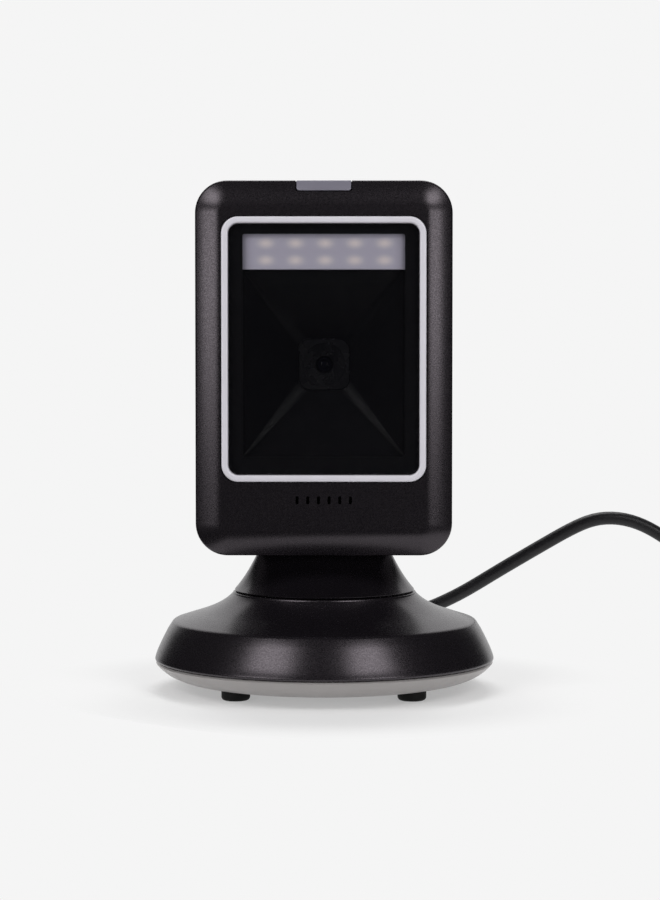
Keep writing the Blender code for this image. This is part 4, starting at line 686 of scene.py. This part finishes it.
def make_cover():
    outside = [(PARTING_EDGE, COVER_Y), (0.0, COVER_Y + PARTING_EDGE), (BACK_DRAFT, BACK_Y - BACK_ROUND)]
    outside += back_edge(BACK_DRAFT, BACK_ROUND, 12)
    cover = loft("rear_shell", [head_ring(inset, y) for inset, y in outside])
    inside = [(HEAD_WALL, COVER_Y - PAST_JOINT), (HEAD_WALL + BACK_DRAFT, BACK_Y - BACK_ROUND)]
    inside += back_edge(HEAD_WALL + BACK_DRAFT, BACK_ROUND - HEAD_WALL, 4)
    cut(cover, loft("hollow", [head_ring(inset, y) for inset, y in inside]))
    root = BACK_Y - HEAD_WALL / 2
    lining = block(
        "lining",
        (-CHEEK_OUTER, COVER_Y, HEAD_BOTTOM + HEAD_WALL / 2),
        (CHEEK_OUTER, root, SLOT_TOP + HEAD_WALL),
    )
    arch = quarter((0.0, HINGE_HEIGHT), ROOF_RADIUS + HEAD_WALL, 0, 180, 32)
    roof = loft("roof", [[(x, y, z) for y, z in arch] for x in (-CHEEK_OUTER, CHEEK_OUTER)])
    towers, wells, holes = [], [], []
    depth = BACK_Y + PAST - SCREW_SEAT_Y
    for i, (x, z) in enumerate(HEAD_SCREWS):
        towers.append(rod(f"tower_{i}", TOWER_RADIUS, (x, COVER_Y, z), root - COVER_Y, TO_BACK, 40))
        wells.append(rod(f"well_{i}", WELL_RADIUS, (x, SCREW_SEAT_Y, z), depth, TO_BACK, 40))
        holes.append(rod(f"hole_{i}", SCREW_HOLE, (x, COVER_Y - PAST_JOINT, z), 0.0080, TO_BACK, 24))
    join(cover, lining, roof, *towers)
    slot = block(
        "slot", (-SLOT_HALF, SLOT_FRONT, HEAD_BOTTOM - PAST), (SLOT_HALF, BACK_Y + PAST, SLOT_TOP)
    )
    bore = rod("bore", ROOF_RADIUS, (-SLOT_HALF, 0, HINGE_HEIGHT), 2 * SLOT_HALF, TO_RIGHT, 96)
    pins = rod("pins", PIN_RADIUS, (-COVER_PIN_HALF, 0, HINGE_HEIGHT), 2 * COVER_PIN_HALF, TO_RIGHT, 40)
    cable = rod("cable", 0.0021, (0, 0, 0.0650), 0.0080, UPRIGHT, 32)
    cut(cover, slot, bore, pins, cable, *wells, *holes)
    return dress(cover, "head", "black_plastic", "rear_cover")


def frame_rings(edge, steps=4):
    """Rings round the trim's section: outer side, rounded front and inner side."""
    front = RING_FRONT + edge
    section = [(0.0, RING_BACK)]
    section += quarter((edge, front), edge, 180, 270, steps)
    section += quarter((RING_BAND - edge, front), edge, 270, 360, steps)
    section.append((RING_BAND, RING_BACK))
    return [panel_ring(RING, y, RING_CORNER - inset, -inset) for inset, y in section]


def make_window():
    ring = loft("trim_ring", frame_rings(0.0005), loop=True)
    dress(ring, "head", "silver_trim", "window_ring")
    corner = RING_CORNER - RING_BAND
    front, edge, back = PANE_Y
    pane = loft(
        "front_pane",
        [
            panel_ring(PANE, front, corner - PANE_EDGE, -GAP - PANE_EDGE),
            panel_ring(PANE, edge, corner, -GAP),
            panel_ring(PANE, back, corner, -GAP),
        ],
    )
    dress(pane, "head", "clear_pane", "scan_window")
    sides = [panel_ring(PANE, y, corner, -GAP) for y in MASK_Y]
    inner = [panel_ring(CLEAR, y, MASK_CORNER) for y in reversed(MASK_Y)]
    mask = loft("pane_border", sides + inner, loop=True)
    dress(mask, "head", "inner_plastic", "window_mask")
    front, edge, back = STRIP_Y
    light = loft(
        "light_strip",
        [
            panel_ring(STRIP, front, STRIP_CORNER, -STRIP_EDGE, 4),
            panel_ring(STRIP, edge, STRIP_CORNER, 0.0, 4),
            panel_ring(STRIP, back, STRIP_CORNER, 0.0, 4),
        ],
    )
    dress(light, "head", "diffuser", "light_diffuser")


def lens_panel(grow=0.0):
    half = LENS_PLATE / 2 + grow
    return (half, LENS_HEIGHT - half, LENS_HEIGHT + half)


def make_optics():
    """The black funnel behind the pane and the lens at its end."""
    funnel = panel_block("funnel", FLANGE, (FLANGE_Y, FLANGE_BACK_Y), FUNNEL_CORNER, 0.0, 8)
    outside = loft(
        "outside",
        [
            panel_ring(CAMERA, SHELL_Y, FUNNEL_CORNER, FUNNEL_WALL, 8),
            panel_ring(lens_panel(LENS_COLLAR), LENS_SEAT_Y, LENS_PLATE_CORNER, 0.0, 8),
            panel_ring(lens_panel(LENS_COLLAR), COLLAR_BACK_Y, LENS_PLATE_CORNER, 0.0, 8),
        ],
    )
    light_box = panel_block("light_box", LIGHTS, (SHELL_Y, LIGHT_BOX_Y), FUNNEL_CORNER, FUNNEL_WALL, 4)
    join(funnel, outside, light_box)
    inside = loft(
        "inside",
        [
            panel_ring(CAMERA, FUNNEL_OPEN_Y, FUNNEL_CORNER, -FUNNEL_WALL, 8),
            panel_ring(CAMERA, FLANGE_Y, 0.0006, -FUNNEL_WALL, 8),
            panel_ring(lens_panel(LENS_PLATE_GAP), FUNNEL_END_Y, LENS_PLATE_CORNER, 0.0, 8),
            panel_ring(lens_panel(LENS_PLATE_GAP), LENS_SEAT_Y, LENS_PLATE_CORNER, 0.0, 8),
        ],
    )
    path = panel_block("path", LIGHTS, (FUNNEL_OPEN_Y, LIGHT_BOX_Y + PAST), FUNNEL_CORNER, -FUNNEL_WALL, 4)
    hole = rod("hole", 0.0048, (0, -0.0060, LENS_HEIGHT), 0.0060, TO_BACK)
    cut(funnel, inside, path, hole)
    dress(funnel, "head", "inner_plastic", "light_baffle")

    edge = LENS_PLATE_EDGE
    plate = loft(
        "lens_plate",
        [
            panel_ring(lens_panel(-edge), LENS_PLATE_FRONT, LENS_PLATE_CORNER - edge),
            panel_ring(lens_panel(), LENS_PLATE_FRONT + edge, LENS_PLATE_CORNER),
            panel_ring(lens_panel(), LENS_PLATE_BACK, LENS_PLATE_CORNER),
        ],
    )
    mouth = [(0, 0.002), (LENS_MOUTH, 0.002)]
    for step in range(LENS_RINGS):
        r = LENS_MOUTH + (LENS_HOLE - LENS_MOUTH) * step / LENS_RINGS
        h = -LENS_STEP - LENS_STEPS_DEPTH * step / LENS_RINGS
        mouth += [(r, h), (r - LENS_STEP_WIDTH, h - LENS_STEP)]
    mouth += [(LENS_HOLE, h - LENS_STEP), (LENS_HOLE, LENS_THROUGH), (0, LENS_THROUGH)]
    cut(plate, turned("mouth", mouth, (0, LENS_PLATE_FRONT, LENS_HEIGHT), TO_FRONT, 96))
    dress(plate, "head", "inner_plastic", "lens_bezel")
    plate.data.materials[0] = SATIN
    angles = np.linspace(0, math.pi / 2, 10)
    glass = [(GLASS_RADIUS * math.sin(a), 0.0006 + GLASS_BULGE * math.cos(a)) for a in angles]
    lens = turned("lens_body", glass + LENS_BARREL, (0, LENS_SEAT_Y, LENS_HEIGHT), TO_FRONT, 72)
    dress(lens, "head", "lens_glass", "lens")


def cross_screw(name, seat, turn, length, body, node):
    """A pan-head screw with a cross recess, its head standing on the seat."""
    shank = [(SHANK_RADIUS, 0), (SHANK_RADIUS, -length + SHANK_RADIUS), (0, -length)]
    screw = turned(name, SCREW_HEAD + shank, (0, 0, 0), UPRIGHT, 40)
    long, thin = CROSS_HALF_LENGTH, CROSS_HALF_WIDTH
    cut(
        screw,
        block("slot_a", (-long, -thin, 0.0007), (long, thin, 0.0020)),
        block("slot_b", (-thin, -long, 0.00071), (thin, long, 0.0020)),
    )
    screw.data.transform(Matrix.Translation(seat) @ turn)
    return dress(screw, body, "steel", node)


# Neck and base


def make_neck():
    levels = 40
    foot = (SEAM_RADIUS - SEAM_STEP, NECK_BOTTOM + SEAM_EDGE)
    widths = bezier(foot, (0.0222, NECK_FLARE_HEIGHT), (NECK_HALF_WIDTH, NECK_STRAIGHT), levels)
    depths = bezier(foot, (0.0114, NECK_FLARE_HEIGHT), (NECK_HALF_DEPTH, NECK_STRAIGHT), levels)
    low = quarter((foot[0] - SEAM_EDGE, foot[1]), SEAM_EDGE, -90, 0, 5)[:-1]
    sizes = [(r, r, z) for r, z in low]
    sizes += [(w, d, z) for (w, z), (d, _) in zip(widths, depths)]
    sizes.append((NECK_HALF_WIDTH, NECK_HALF_DEPTH, HINGE_HEIGHT))
    turns = [2 * math.pi * i / ROUND for i in range(ROUND)]
    neck = loft("neck_shell", [[(w * math.cos(t), d * math.sin(t), z) for t in turns] for w, d, z in sizes])
    barrel = rod("barrel", BARREL_RADIUS, (-BARREL_HALF, 0, HINGE_HEIGHT), 2 * BARREL_HALF, TO_RIGHT, 96)
    spigot = rod("spigot", 0.0150, (0, 0, 0.02715), 0.0058, UPRIGHT, 72)
    join(neck, barrel, spigot)
    channel = rod("channel", 0.0042, (0, 0, 0.0240), 0.0363, UPRIGHT, 48)
    pins = rod("pins", PIN_RADIUS, (-NECK_PIN_HALF, 0, HINGE_HEIGHT), 2 * NECK_PIN_HALF, TO_RIGHT, 40)
    swing = block("swing", (-0.0021, -0.0068, HINGE_HEIGHT), (0.0021, 0.0126, HINGE_HEIGHT + 0.0145))
    cut(neck, channel, pins, swing)
    return dress(neck, "neck", "black_plastic", "neck")


def around(circle, degrees):
    """Places on a circle about the middle of the base."""
    angles = [math.radians(a) for a in degrees]
    return [(circle * math.cos(a), circle * math.sin(a)) for a in angles]


def make_dome():
    seam = (SEAM_RADIUS + SEAM_STEP, SEAT_TOP - SEAM_EDGE)
    shoulder = Vector(SHOULDER)
    cone = Vector((1.0, -CONE_SLOPE)).normalized()
    wall = (Vector(LIP) - shoulder).normalized()
    meet = shoulder.y - seam[1] - FLARE_SLOPE * seam[0] + CONE_SLOPE * shoulder.x
    flare_r = meet / (CONE_SLOPE - FLARE_SLOPE)
    flare = (flare_r, seam[1] - FLARE_SLOPE * (flare_r - seam[0]))
    end = (CONE_START, shoulder.y + CONE_SLOPE * (shoulder.x - CONE_START))
    rim = (BASE_RADIUS - 0.00045, PARTING_HEIGHT + 0.0029)
    edge = (BASE_RADIUS, PARTING_HEIGHT + 0.0006)
    profile = [(0.0153, SEAT_TOP), (0.0159, SEAT_TOP)]
    profile += [(0.0159, 0.02875), (0.0233, 0.02875), (0.0233, SEAT_TOP)]
    profile += quarter((seam[0] - SEAM_EDGE, seam[1]), SEAM_EDGE, 90, 0, 5)[:-1]
    profile += bezier(seam, flare, end, 36)
    profile += bezier(shoulder - SHOULDER_ROUND * cone, shoulder, shoulder + SHOULDER_ROUND * wall, 6)
    profile += bezier(LIP, rim, edge, 16)
    profile += bezier(edge, (BASE_RADIUS, PARTING_HEIGHT), (BASE_RADIUS - 0.0005, PARTING_HEIGHT), 4)[1:]
    profile += [(0.0495, PARTING_HEIGHT), (0.0492, 0.0120), (0.0452, 0.0180), (0.0372, 0.0213)]
    profile += [(0.0320, 0.0233), (0.0285, 0.0262), (0.0272, 0.02745), (0.0153, 0.02745)]
    dome = turned("base_dome", profile, ring=True, steps=192)
    cut(dome, rod("cord_hole", 0.0037, (0, 0.030, BOOT_HEIGHT), 0.040, TO_BACK, 48))
    return dress(dome, "base", "black_plastic", "base_top_cover")


def make_base():
    make_dome()
    edge = (BASE_RADIUS - 0.0003, PARTING_HEIGHT - GAP)
    profile = [(0, 0.0048), (0.0378, 0.0048), (0.0430, 0.0055), (0.0468, 0.0076)]
    profile += [(0.0472, 0.0102), (0.0487, 0.0102)]
    profile += [(0.0487, PARTING_HEIGHT - GAP), (edge[0] - 0.0005, edge[1])]
    profile += bezier((edge[0], edge[1] - 0.0005), (0.0470, FOOT_HEIGHT), (0.0380, FOOT_HEIGHT), 30)
    profile.append((0, FOOT_HEIGHT))
    bowl = turned("base_bowl", profile, steps=192)
    screws = around(BASE_SCREW_CIRCLE, (-90, 30, 150))
    feet = around(FOOT_CIRCLE, (45, 135, 225, 315))
    seats = []
    tools = []
    for i, (x, y) in enumerate(screws):
        seats.append(rod(f"seat_{i}", 0.0041, (x, y, 0.0046), 0.0016, UPRIGHT, 40))
        tools.append(rod(f"recess_{i}", WELL_RADIUS, (x, y, 0.0), 0.0046, UPRIGHT, 40))
        tools.append(rod(f"hole_{i}", SCREW_HOLE, (x, y, 0.0), 0.0090, UPRIGHT, 24))
    for i, (x, y) in enumerate(feet):
        tools.append(rod(f"pocket_{i}", FOOT_RADIUS + GAP, (x, y, 0.0), 0.0036, UPRIGHT, 48))
    join(bowl, *seats)
    cut(bowl, *tools)
    dress(bowl, "base", "silver_paint", "base_bottom_cover")

    profile = [(0, FOOT_TOP), (FOOT_RADIUS, FOOT_TOP)]
    profile += quarter((FOOT_RADIUS - FOOT_ROUND, FOOT_ROUND), FOOT_ROUND, 0, -90, 8)
    profile += [(0.0024, 0.0), (0.0022, 0.0003), (0, 0.0003)]
    for i, (x, y) in enumerate(feet):
        foot = turned(f"foot_{i + 1}", profile, (x, y, 0), UPRIGHT, 64)
        dress(foot, "base", "rubber", f"rubber_foot_{i + 1}")
    down = Matrix.Rotation(math.pi, 4, "X")
    for i, (x, y) in enumerate(screws):
        seat = (x, y, BASE_SCREW_SEAT)
        cross_screw(f"bowl_screw_{i + 1}", seat, down, BASE_SCREW_LENGTH, "base", f"base_screw_{i + 1}")


# Cord


def smooth_path(route, spacing):
    """Evenly spaced points on the natural cubic curve through the route's points."""
    points = np.array(route, float)
    count = len(points)
    chords = np.linalg.norm(np.diff(points, axis=0), axis=1)
    places = np.concatenate([[0], np.cumsum(chords)])
    system = np.eye(count)
    pull = np.zeros((count, 3))
    for i in range(1, count - 1):
        before, after = chords[i - 1], chords[i]
        system[i, i - 1 : i + 2] = before, 2 * (before + after), after
        pull[i] = 6 * ((points[i + 1] - points[i]) / after - (points[i] - points[i - 1]) / before)
    bend = np.linalg.solve(system, pull)
    samples = np.linspace(0, places[-1], int(round(places[-1] / spacing)) + 1)
    spans = np.clip(np.searchsorted(places, samples, side="right") - 1, 0, count - 2)
    path = []
    for sample, i in zip(samples, spans):
        chord = chords[i]
        left, right = places[i + 1] - sample, sample - places[i]
        curve = (bend[i] * left**3 + bend[i + 1] * right**3) / (6 * chord)
        curve = curve + (points[i] / chord - bend[i] * chord / 6) * left
        path.append(tuple(curve + (points[i + 1] / chord - bend[i + 1] * chord / 6) * right))
    return path


def coil_path(per_turn=60):
    """The wound length: four layers from the top down, each spiralling in or out."""
    in_layer = (COIL_TURNS - (COIL_LAYERS - 1) / 2) / COIL_LAYERS
    span = in_layer + 0.5
    path = []
    for step in range(int(round(COIL_TURNS * per_turn)) + 1):
        turn = step / per_turn
        layer = int(min((turn + 0.25) // span, COIL_LAYERS - 1))
        swing = turn + 0.25 - layer * span - span / 2
        radius = COIL_RADIUS + COIL_PITCH * swing * (1 if layer % 2 else -1)
        drop = sum(min(max((turn - k * span - in_layer) / 0.5, 0.0), 1.0) for k in range(COIL_LAYERS - 1))
        angle = math.pi / 2 - 2 * math.pi * turn
        z = COIL_HEIGHT + (COIL_LAYERS - 1 - drop) * COIL_PITCH
        path.append((COIL_X + radius * math.cos(angle), COIL_Y + radius * math.sin(angle), z))
    x, y, z = path[-1]
    return path + [(x, y - COIL_TAIL * share, z) for share in (0.25, 0.5, 0.75, 1.0)]


def make_cord():
    path = smooth_path(CORD_ROUTE, CORD_SPACING) + coil_path()
    curve = bpy.data.curves.new("usb_lead", "CURVE")
    curve.dimensions = "3D"
    curve.bevel_depth = CORD_RADIUS
    curve.bevel_resolution = 6
    curve.use_fill_caps = True
    spline = curve.splines.new("POLY")
    spline.points.add(len(path) - 1)
    for point, place in zip(spline.points, path):
        point.co = (*place, 1)
    spline.use_smooth = True
    lead = bpy.data.objects.new("usb_lead", curve)
    bpy.context.scene.collection.objects.link(lead)
    length = sum(math.dist(a, b) for a, b in zip(path, path[1:]))
    dress(lead, "base", "cord_jacket", "usb_cord", "usb_cord_coil")
    return lead, length


def make_strain_relief():
    start, tip = (corner.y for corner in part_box("cord_strain_relief"))
    flange_end, shoulder = start + 0.0018, BASE_RADIUS + GAP
    profile = [(0, start), (BOOT_FLANGE, start), (BOOT_FLANGE, flange_end)]
    profile += [(BOOT_NECK, flange_end), (BOOT_NECK, shoulder)]
    profile += [(0.0040, shoulder), (BOOT_WIDE, shoulder + 0.0003)]
    rib = (tip - shoulder) / (2 * BOOT_RIBS + 1)
    for step in range(1, 2 * BOOT_RIBS + 1):
        along = shoulder + step * rib
        radius = BOOT_WIDE + (BOOT_NARROW - BOOT_WIDE) * step / (2 * BOOT_RIBS)
        inner = radius - BOOT_GROOVE
        if step % 2:
            profile += [(radius, along - 0.0002), (radius - 0.0002, along), (inner, along + 0.0001)]
        else:
            profile += [(inner, along - 0.0001), (radius - 0.0002, along), (radius, along + 0.0002)]
    profile += [(BOOT_NARROW, tip - 0.0003), (0.0027, tip), (0, tip)]
    boot = turned("cord_boot", profile, (0, 0, BOOT_HEIGHT), TO_BACK, 64)
    return dress(boot, "base", "rubber", "cord_strain_relief")


def make_ties():
    in_layer = (COIL_TURNS - (COIL_LAYERS - 1) / 2) / COIL_LAYERS
    width = 2 * (COIL_PITCH * (in_layer / 2 + 0.25) + CORD_RADIUS + TIE_ROOM)
    height = (COIL_LAYERS - 1) * COIL_PITCH + 2 * (CORD_RADIUS + TIE_ROOM)
    middle = COIL_HEIGHT + (COIL_LAYERS - 1) * COIL_PITCH / 2
    thick, half = TIE_THICKNESS, TIE_HALF_WIDTH
    flat, inset = half - TIE_EDGE, thick - TIE_EDGE
    section = [(0.0, -flat), (0.0, flat), (TIE_EDGE, half), (inset, half)]
    section += [(thick, flat), (thick, -flat), (inset, -half), (TIE_EDGE, -half)]
    ties = []
    for i, angle in enumerate(math.radians(a) for a in TIE_ANGLES):
        rings = []
        for out, along in section:
            outline = rounded_rectangle(width + 2 * out, height + 2 * out, CORD_RADIUS + out, 8)
            rings.append([(u, along, v) for u, v in outline])
        at = (COIL_X + COIL_RADIUS * math.cos(angle), COIL_Y + COIL_RADIUS * math.sin(angle), middle)
        place = Matrix.Translation(at) @ Matrix.Rotation(angle, 4, "Z")
        tie = loft(f"cord_tie_{i + 1}", rings, loop=True, place=place)
        ties.append(dress(tie, "base", "rubber", f"coil_tie_{i + 1}"))
    return ties


def make_plug():
    low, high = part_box("usb_plug_body")
    x = (low.x + high.x) / 2
    z = (low.z + high.z) / 2
    back = high.y - PLUG_RELIEF
    half, rise, edge = (high.x - low.x) / 2, (high.z - low.z) / 2, PLUG_EDGE

    def section(y, inset):
        outline = rounded_rectangle(2 * (half - inset), 2 * (rise - inset), PLUG_CORNER, 8)
        return [(x + u, y, z + v) for u, v in outline]

    rings = [section(back, edge), section(back - edge * 0.3, edge * 0.3), section(back - edge, 0)]
    grip = back - 0.0060
    for groove in range(PLUG_GROOVES):
        y = grip - groove * PLUG_GROOVE_PITCH
        rings += [section(y - along, inset) for along, inset in PLUG_GROOVE]
    rings += [section(low.y + edge, 0), section(low.y + edge * 0.3, edge * 0.3), section(low.y, edge)]
    body = loft("plug_grip", rings)
    relief = [(0, 0.0110), (0.0030, 0.0110), (0.0030, 0.0080)]
    for step in range(4):
        h = 0.0068 - step * 0.0017
        r = 0.00295 - step * 0.0001
        relief += [(r, h + 0.0006), (r - 0.0003, h + 0.0004), (r - 0.0003, h), (r - 0.0001, h - 0.0002)]
    relief += [(0.00255, 0.0), (0, 0.0)]
    join(body, turned("relief", relief, (x, high.y, z), TO_FRONT, 48))
    pocket = block(
        "pocket",
        (x - 0.0063, low.y - PAST, z - 0.00255),
        (x + 0.0063, low.y + 0.0024, z + 0.00255),
    )
    cut(body, pocket)
    dress(body, "base", "cord_jacket", "usb_plug_body")

    low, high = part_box("usb_plug_shell")
    half, rise = (high.x - low.x) / 2, (high.z - low.z) / 2

    def shell_ring(y, inset):
        outline = rounded_rectangle(2 * (half - inset), 2 * (rise - inset), max(0.0007 - inset, 0.0003), 5)
        return [(x + u, y, z + v) for u, v in outline]

    shell = loft(
        "plug_shell",
        [
            shell_ring(high.y, 0),
            shell_ring(low.y + SHELL_EDGE, 0),
            shell_ring(low.y, SHELL_EDGE),
            shell_ring(low.y, SHELL_THICKNESS),
            shell_ring(high.y, SHELL_THICKNESS),
        ],
        loop=True,
    )
    holes = []
    for i, side in enumerate((-1, 1)):
        middle = (x + side * LATCH_X, (low.y + high.y) / 2 - 0.001, z)
        near = [m - half_size for m, half_size in zip(middle, LATCH_HALF)]
        far = [m + half_size for m, half_size in zip(middle, LATCH_HALF)]
        holes.append(block(f"latch_{i}", near, far))
    cut(shell, *holes)
    dress(shell, "base", "steel", "usb_plug_shell")

    low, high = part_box("usb_plug_tongue")
    tongue = soften(block("plug_tongue", low, high), 0.0002, 2)
    dress(tongue, "base", "nylon", "usb_plug_tongue")

    def contact(name, middle):
        near = (x + middle - CONTACT_HALF_WIDTH, low.y + 0.0010, low.z - 0.0001)
        far = (x + middle + CONTACT_HALF_WIDTH, high.y - 0.004, low.z + 0.0002)
        return block(name, near, far)

    contacts = contact("plug_contacts", -0.0035)
    join(contacts, *[contact(f"strip_{i}", c) for i, c in enumerate((-0.0010, 0.0010, 0.0035))])
    dress(contacts, "base", "steel")
    contacts.data.materials[0] = GOLD
    return body, shell, tongue, contacts


make_bezel()
make_indicator()
make_cover()
make_window()
make_optics()
for number, (screw_x, screw_z) in enumerate(HEAD_SCREWS, 1):
    screw_seat = (screw_x, SCREW_SEAT_Y + GAP, screw_z)
    screw_names = (f"cover_screw_{number}", f"head_screw_{number}")
    cross_screw(screw_names[0], screw_seat, TO_BACK, HEAD_SCREW_LENGTH, "head", screw_names[1])
make_neck()
make_base()
lead, lead_length = make_cord()
boot = make_strain_relief()
ties = make_ties()
plug = make_plug()

# Solids that stay as they are take their slot's finish
for part in frame["record"]["subparts"]:
    node = frame["nodes"][part["node"]]
    if not node.hide_render:
        node.data.materials.clear()
        node.data.materials.append(SLOTS[part["material_slot"]])


# Floor, light and camera
BACKGROUND = 0.913
FLOOR_RADIUS = 0.19
FLOOR_MIDDLE = (0.075, 0.075, 0.0)
FLOOR_PLAIN = 0.33
FLOOR_LIT = 0.60
FLOOR_NEAR = 0.066
FLOOR_FAR = 0.098
ROOM = 0.36
BEHIND = 0.55
DARK = 0.02
WALL_Y = (0.15, 0.45)
WALL_ASIDE = (0.62, 0.44)
WALL_TOP = (0.80, 0.64)
VIEW_FROM = (0.005, -0.700, 0.103)
VIEW_AT = (0.0017, 0.0, 0.0726)
VIEW_LENS = 92.0


def make_stage():
    """A pale floor that takes the object's shadow and meets the backdrop without an edge."""
    material, nodes, links, shader = material_nodes("studio_floor")
    shader.inputs["Base Color"].default_value = (0.80, 0.80, 0.80, 1.0)
    shader.inputs["Roughness"].default_value = 0.9
    shader.inputs["Specular IOR Level"].default_value = 0.0
    place = nodes.new("ShaderNodeNewGeometry")
    away = nodes.new("ShaderNodeVectorMath")
    away.operation = "LENGTH"
    links.new(place.outputs["Position"], away.inputs[0])
    far = ramp(nodes, links, away.outputs["Value"], FLOOR_NEAR, FLOOR_FAR)
    paper = nodes.new("ShaderNodeBsdfDiffuse")
    paper.inputs["Color"].default_value = (FLOOR_LIT, FLOOR_LIT, FLOOR_LIT, 1.0)
    base = nodes.new("ShaderNodeEmission")
    base.inputs["Color"].default_value = (FLOOR_PLAIN, FLOOR_PLAIN, FLOOR_PLAIN, 1.0)
    near = nodes.new("ShaderNodeAddShader")
    links.new(paper.outputs[0], near.inputs[0])
    links.new(base.outputs[0], near.inputs[1])
    plain = nodes.new("ShaderNodeEmission")
    plain.inputs["Color"].default_value = (BACKGROUND, BACKGROUND, BACKGROUND, 1.0)
    sweep = nodes.new("ShaderNodeMixShader")
    links.new(far, sweep.inputs[0])
    links.new(near.outputs[0], sweep.inputs[1])
    links.new(plain.outputs[0], sweep.inputs[2])
    rays = nodes.new("ShaderNodeLightPath")
    seen = maths(nodes, links, "MAXIMUM", rays.outputs["Is Camera Ray"], rays.outputs["Is Glossy Ray"])
    seen = maths(nodes, links, "MAXIMUM", seen, rays.outputs["Is Transmission Ray"])
    mix = nodes.new("ShaderNodeMixShader")
    links.new(seen, mix.inputs[0])
    links.new(shader.outputs[0], mix.inputs[1])
    links.new(sweep.outputs[0], mix.inputs[2])
    links.new(mix.outputs[0], nodes["Material Output"].inputs["Surface"])
    bm = bmesh.new()
    bmesh.ops.create_circle(bm, cap_ends=True, segments=96, radius=FLOOR_RADIUS)
    floor = mesh_piece("floor", bm, Matrix.Translation(FLOOR_MIDDLE))
    floor.data.materials.append(material)


def make_lamp(name, at, aim, size, power):
    data = bpy.data.lights.new(name, "AREA")
    data.shape = "RECTANGLE"
    data.size, data.size_y = size
    data.energy = power
    lamp = bpy.data.objects.new(name, data)
    lamp.location = at
    lamp.rotation_euler = (Vector(aim) - Vector(at)).to_track_quat("-Z", "Y").to_euler()
    lamp.visible_camera = False
    bpy.context.scene.collection.objects.link(lamp)


def make_world():
    """A white backdrop behind the object, a dim room in front of it."""
    world = bpy.data.worlds.new("studio")
    world.use_nodes = True
    bpy.context.scene.world = world
    nodes, links = world.node_tree.nodes, world.node_tree.links

    def sky(level):
        node = nodes.new("ShaderNodeBackground")
        node.inputs["Color"].default_value = (level, level, level, 1.0)
        return node.outputs[0]

    def mixed(factor, first, second):
        node = nodes.new("ShaderNodeMixShader")
        for socket, value in zip(node.inputs, (factor, first, second)):
            links.new(value, socket)
        return node.outputs[0]

    place = nodes.new("ShaderNodeTexCoord")
    split = nodes.new("ShaderNodeSeparateXYZ")
    links.new(place.outputs["Generated"], split.inputs[0])
    aside = maths(nodes, links, "ABSOLUTE", split.outputs["X"])
    behind = ramp(nodes, links, split.outputs["Y"], *WALL_Y)
    middle = ramp(nodes, links, aside, *WALL_ASIDE)
    below = ramp(nodes, links, split.outputs["Z"], *WALL_TOP)
    wall = maths(nodes, links, "MULTIPLY", maths(nodes, links, "MULTIPLY", behind, middle), below)
    rays = nodes.new("ShaderNodeLightPath")
    white = sky(BACKGROUND)
    lit = mixed(behind, sky(ROOM), sky(BEHIND))
    mirrored = mixed(rays.outputs["Is Glossy Ray"], lit, mixed(wall, sky(DARK), white))
    seen, through = rays.outputs["Is Camera Ray"], rays.outputs["Is Transmission Ray"]
    direct = maths(nodes, links, "MAXIMUM", seen, through)
    links.new(mixed(direct, mirrored, white), nodes["World Output"].inputs["Surface"])


def make_camera():
    data = bpy.data.cameras.new("camera")
    data.sensor_fit = "VERTICAL"
    data.sensor_height = 36.0
    data.lens = VIEW_LENS
    data.clip_start = 0.01
    camera = bpy.data.objects.new("camera", data)
    camera.location = VIEW_FROM
    aim = Vector(VIEW_AT) - camera.location
    camera.rotation_euler = aim.to_track_quat("-Z", "Y").to_euler()
    bpy.context.scene.collection.objects.link(camera)
    bpy.context.scene.camera = camera


make_stage()
make_lamp("left_low_strip", (-0.669, -0.743, 0.18), (0, 0, 0.18), (0.58, 0.18), 1.45)
make_lamp("right_low_strip", (0.580, -0.815, 0.18), (0, 0, 0.18), (0.52, 0.18), 1.30)
make_lamp("left_softbox", (-0.669, -0.743, 0.89), (0, 0, 0.89), (0.58, 0.66), 4.8)
make_lamp("right_softbox", (0.580, -0.815, 0.89), (0, 0, 0.89), (0.52, 0.66), 4.5)
make_lamp("top_softbox", (0.0, 0.60, 1.20), (0, 0, 0.05), (0.80, 0.60), 7.0)
make_world()
make_camera()
bpy.context.scene.view_settings.view_transform = "Standard"
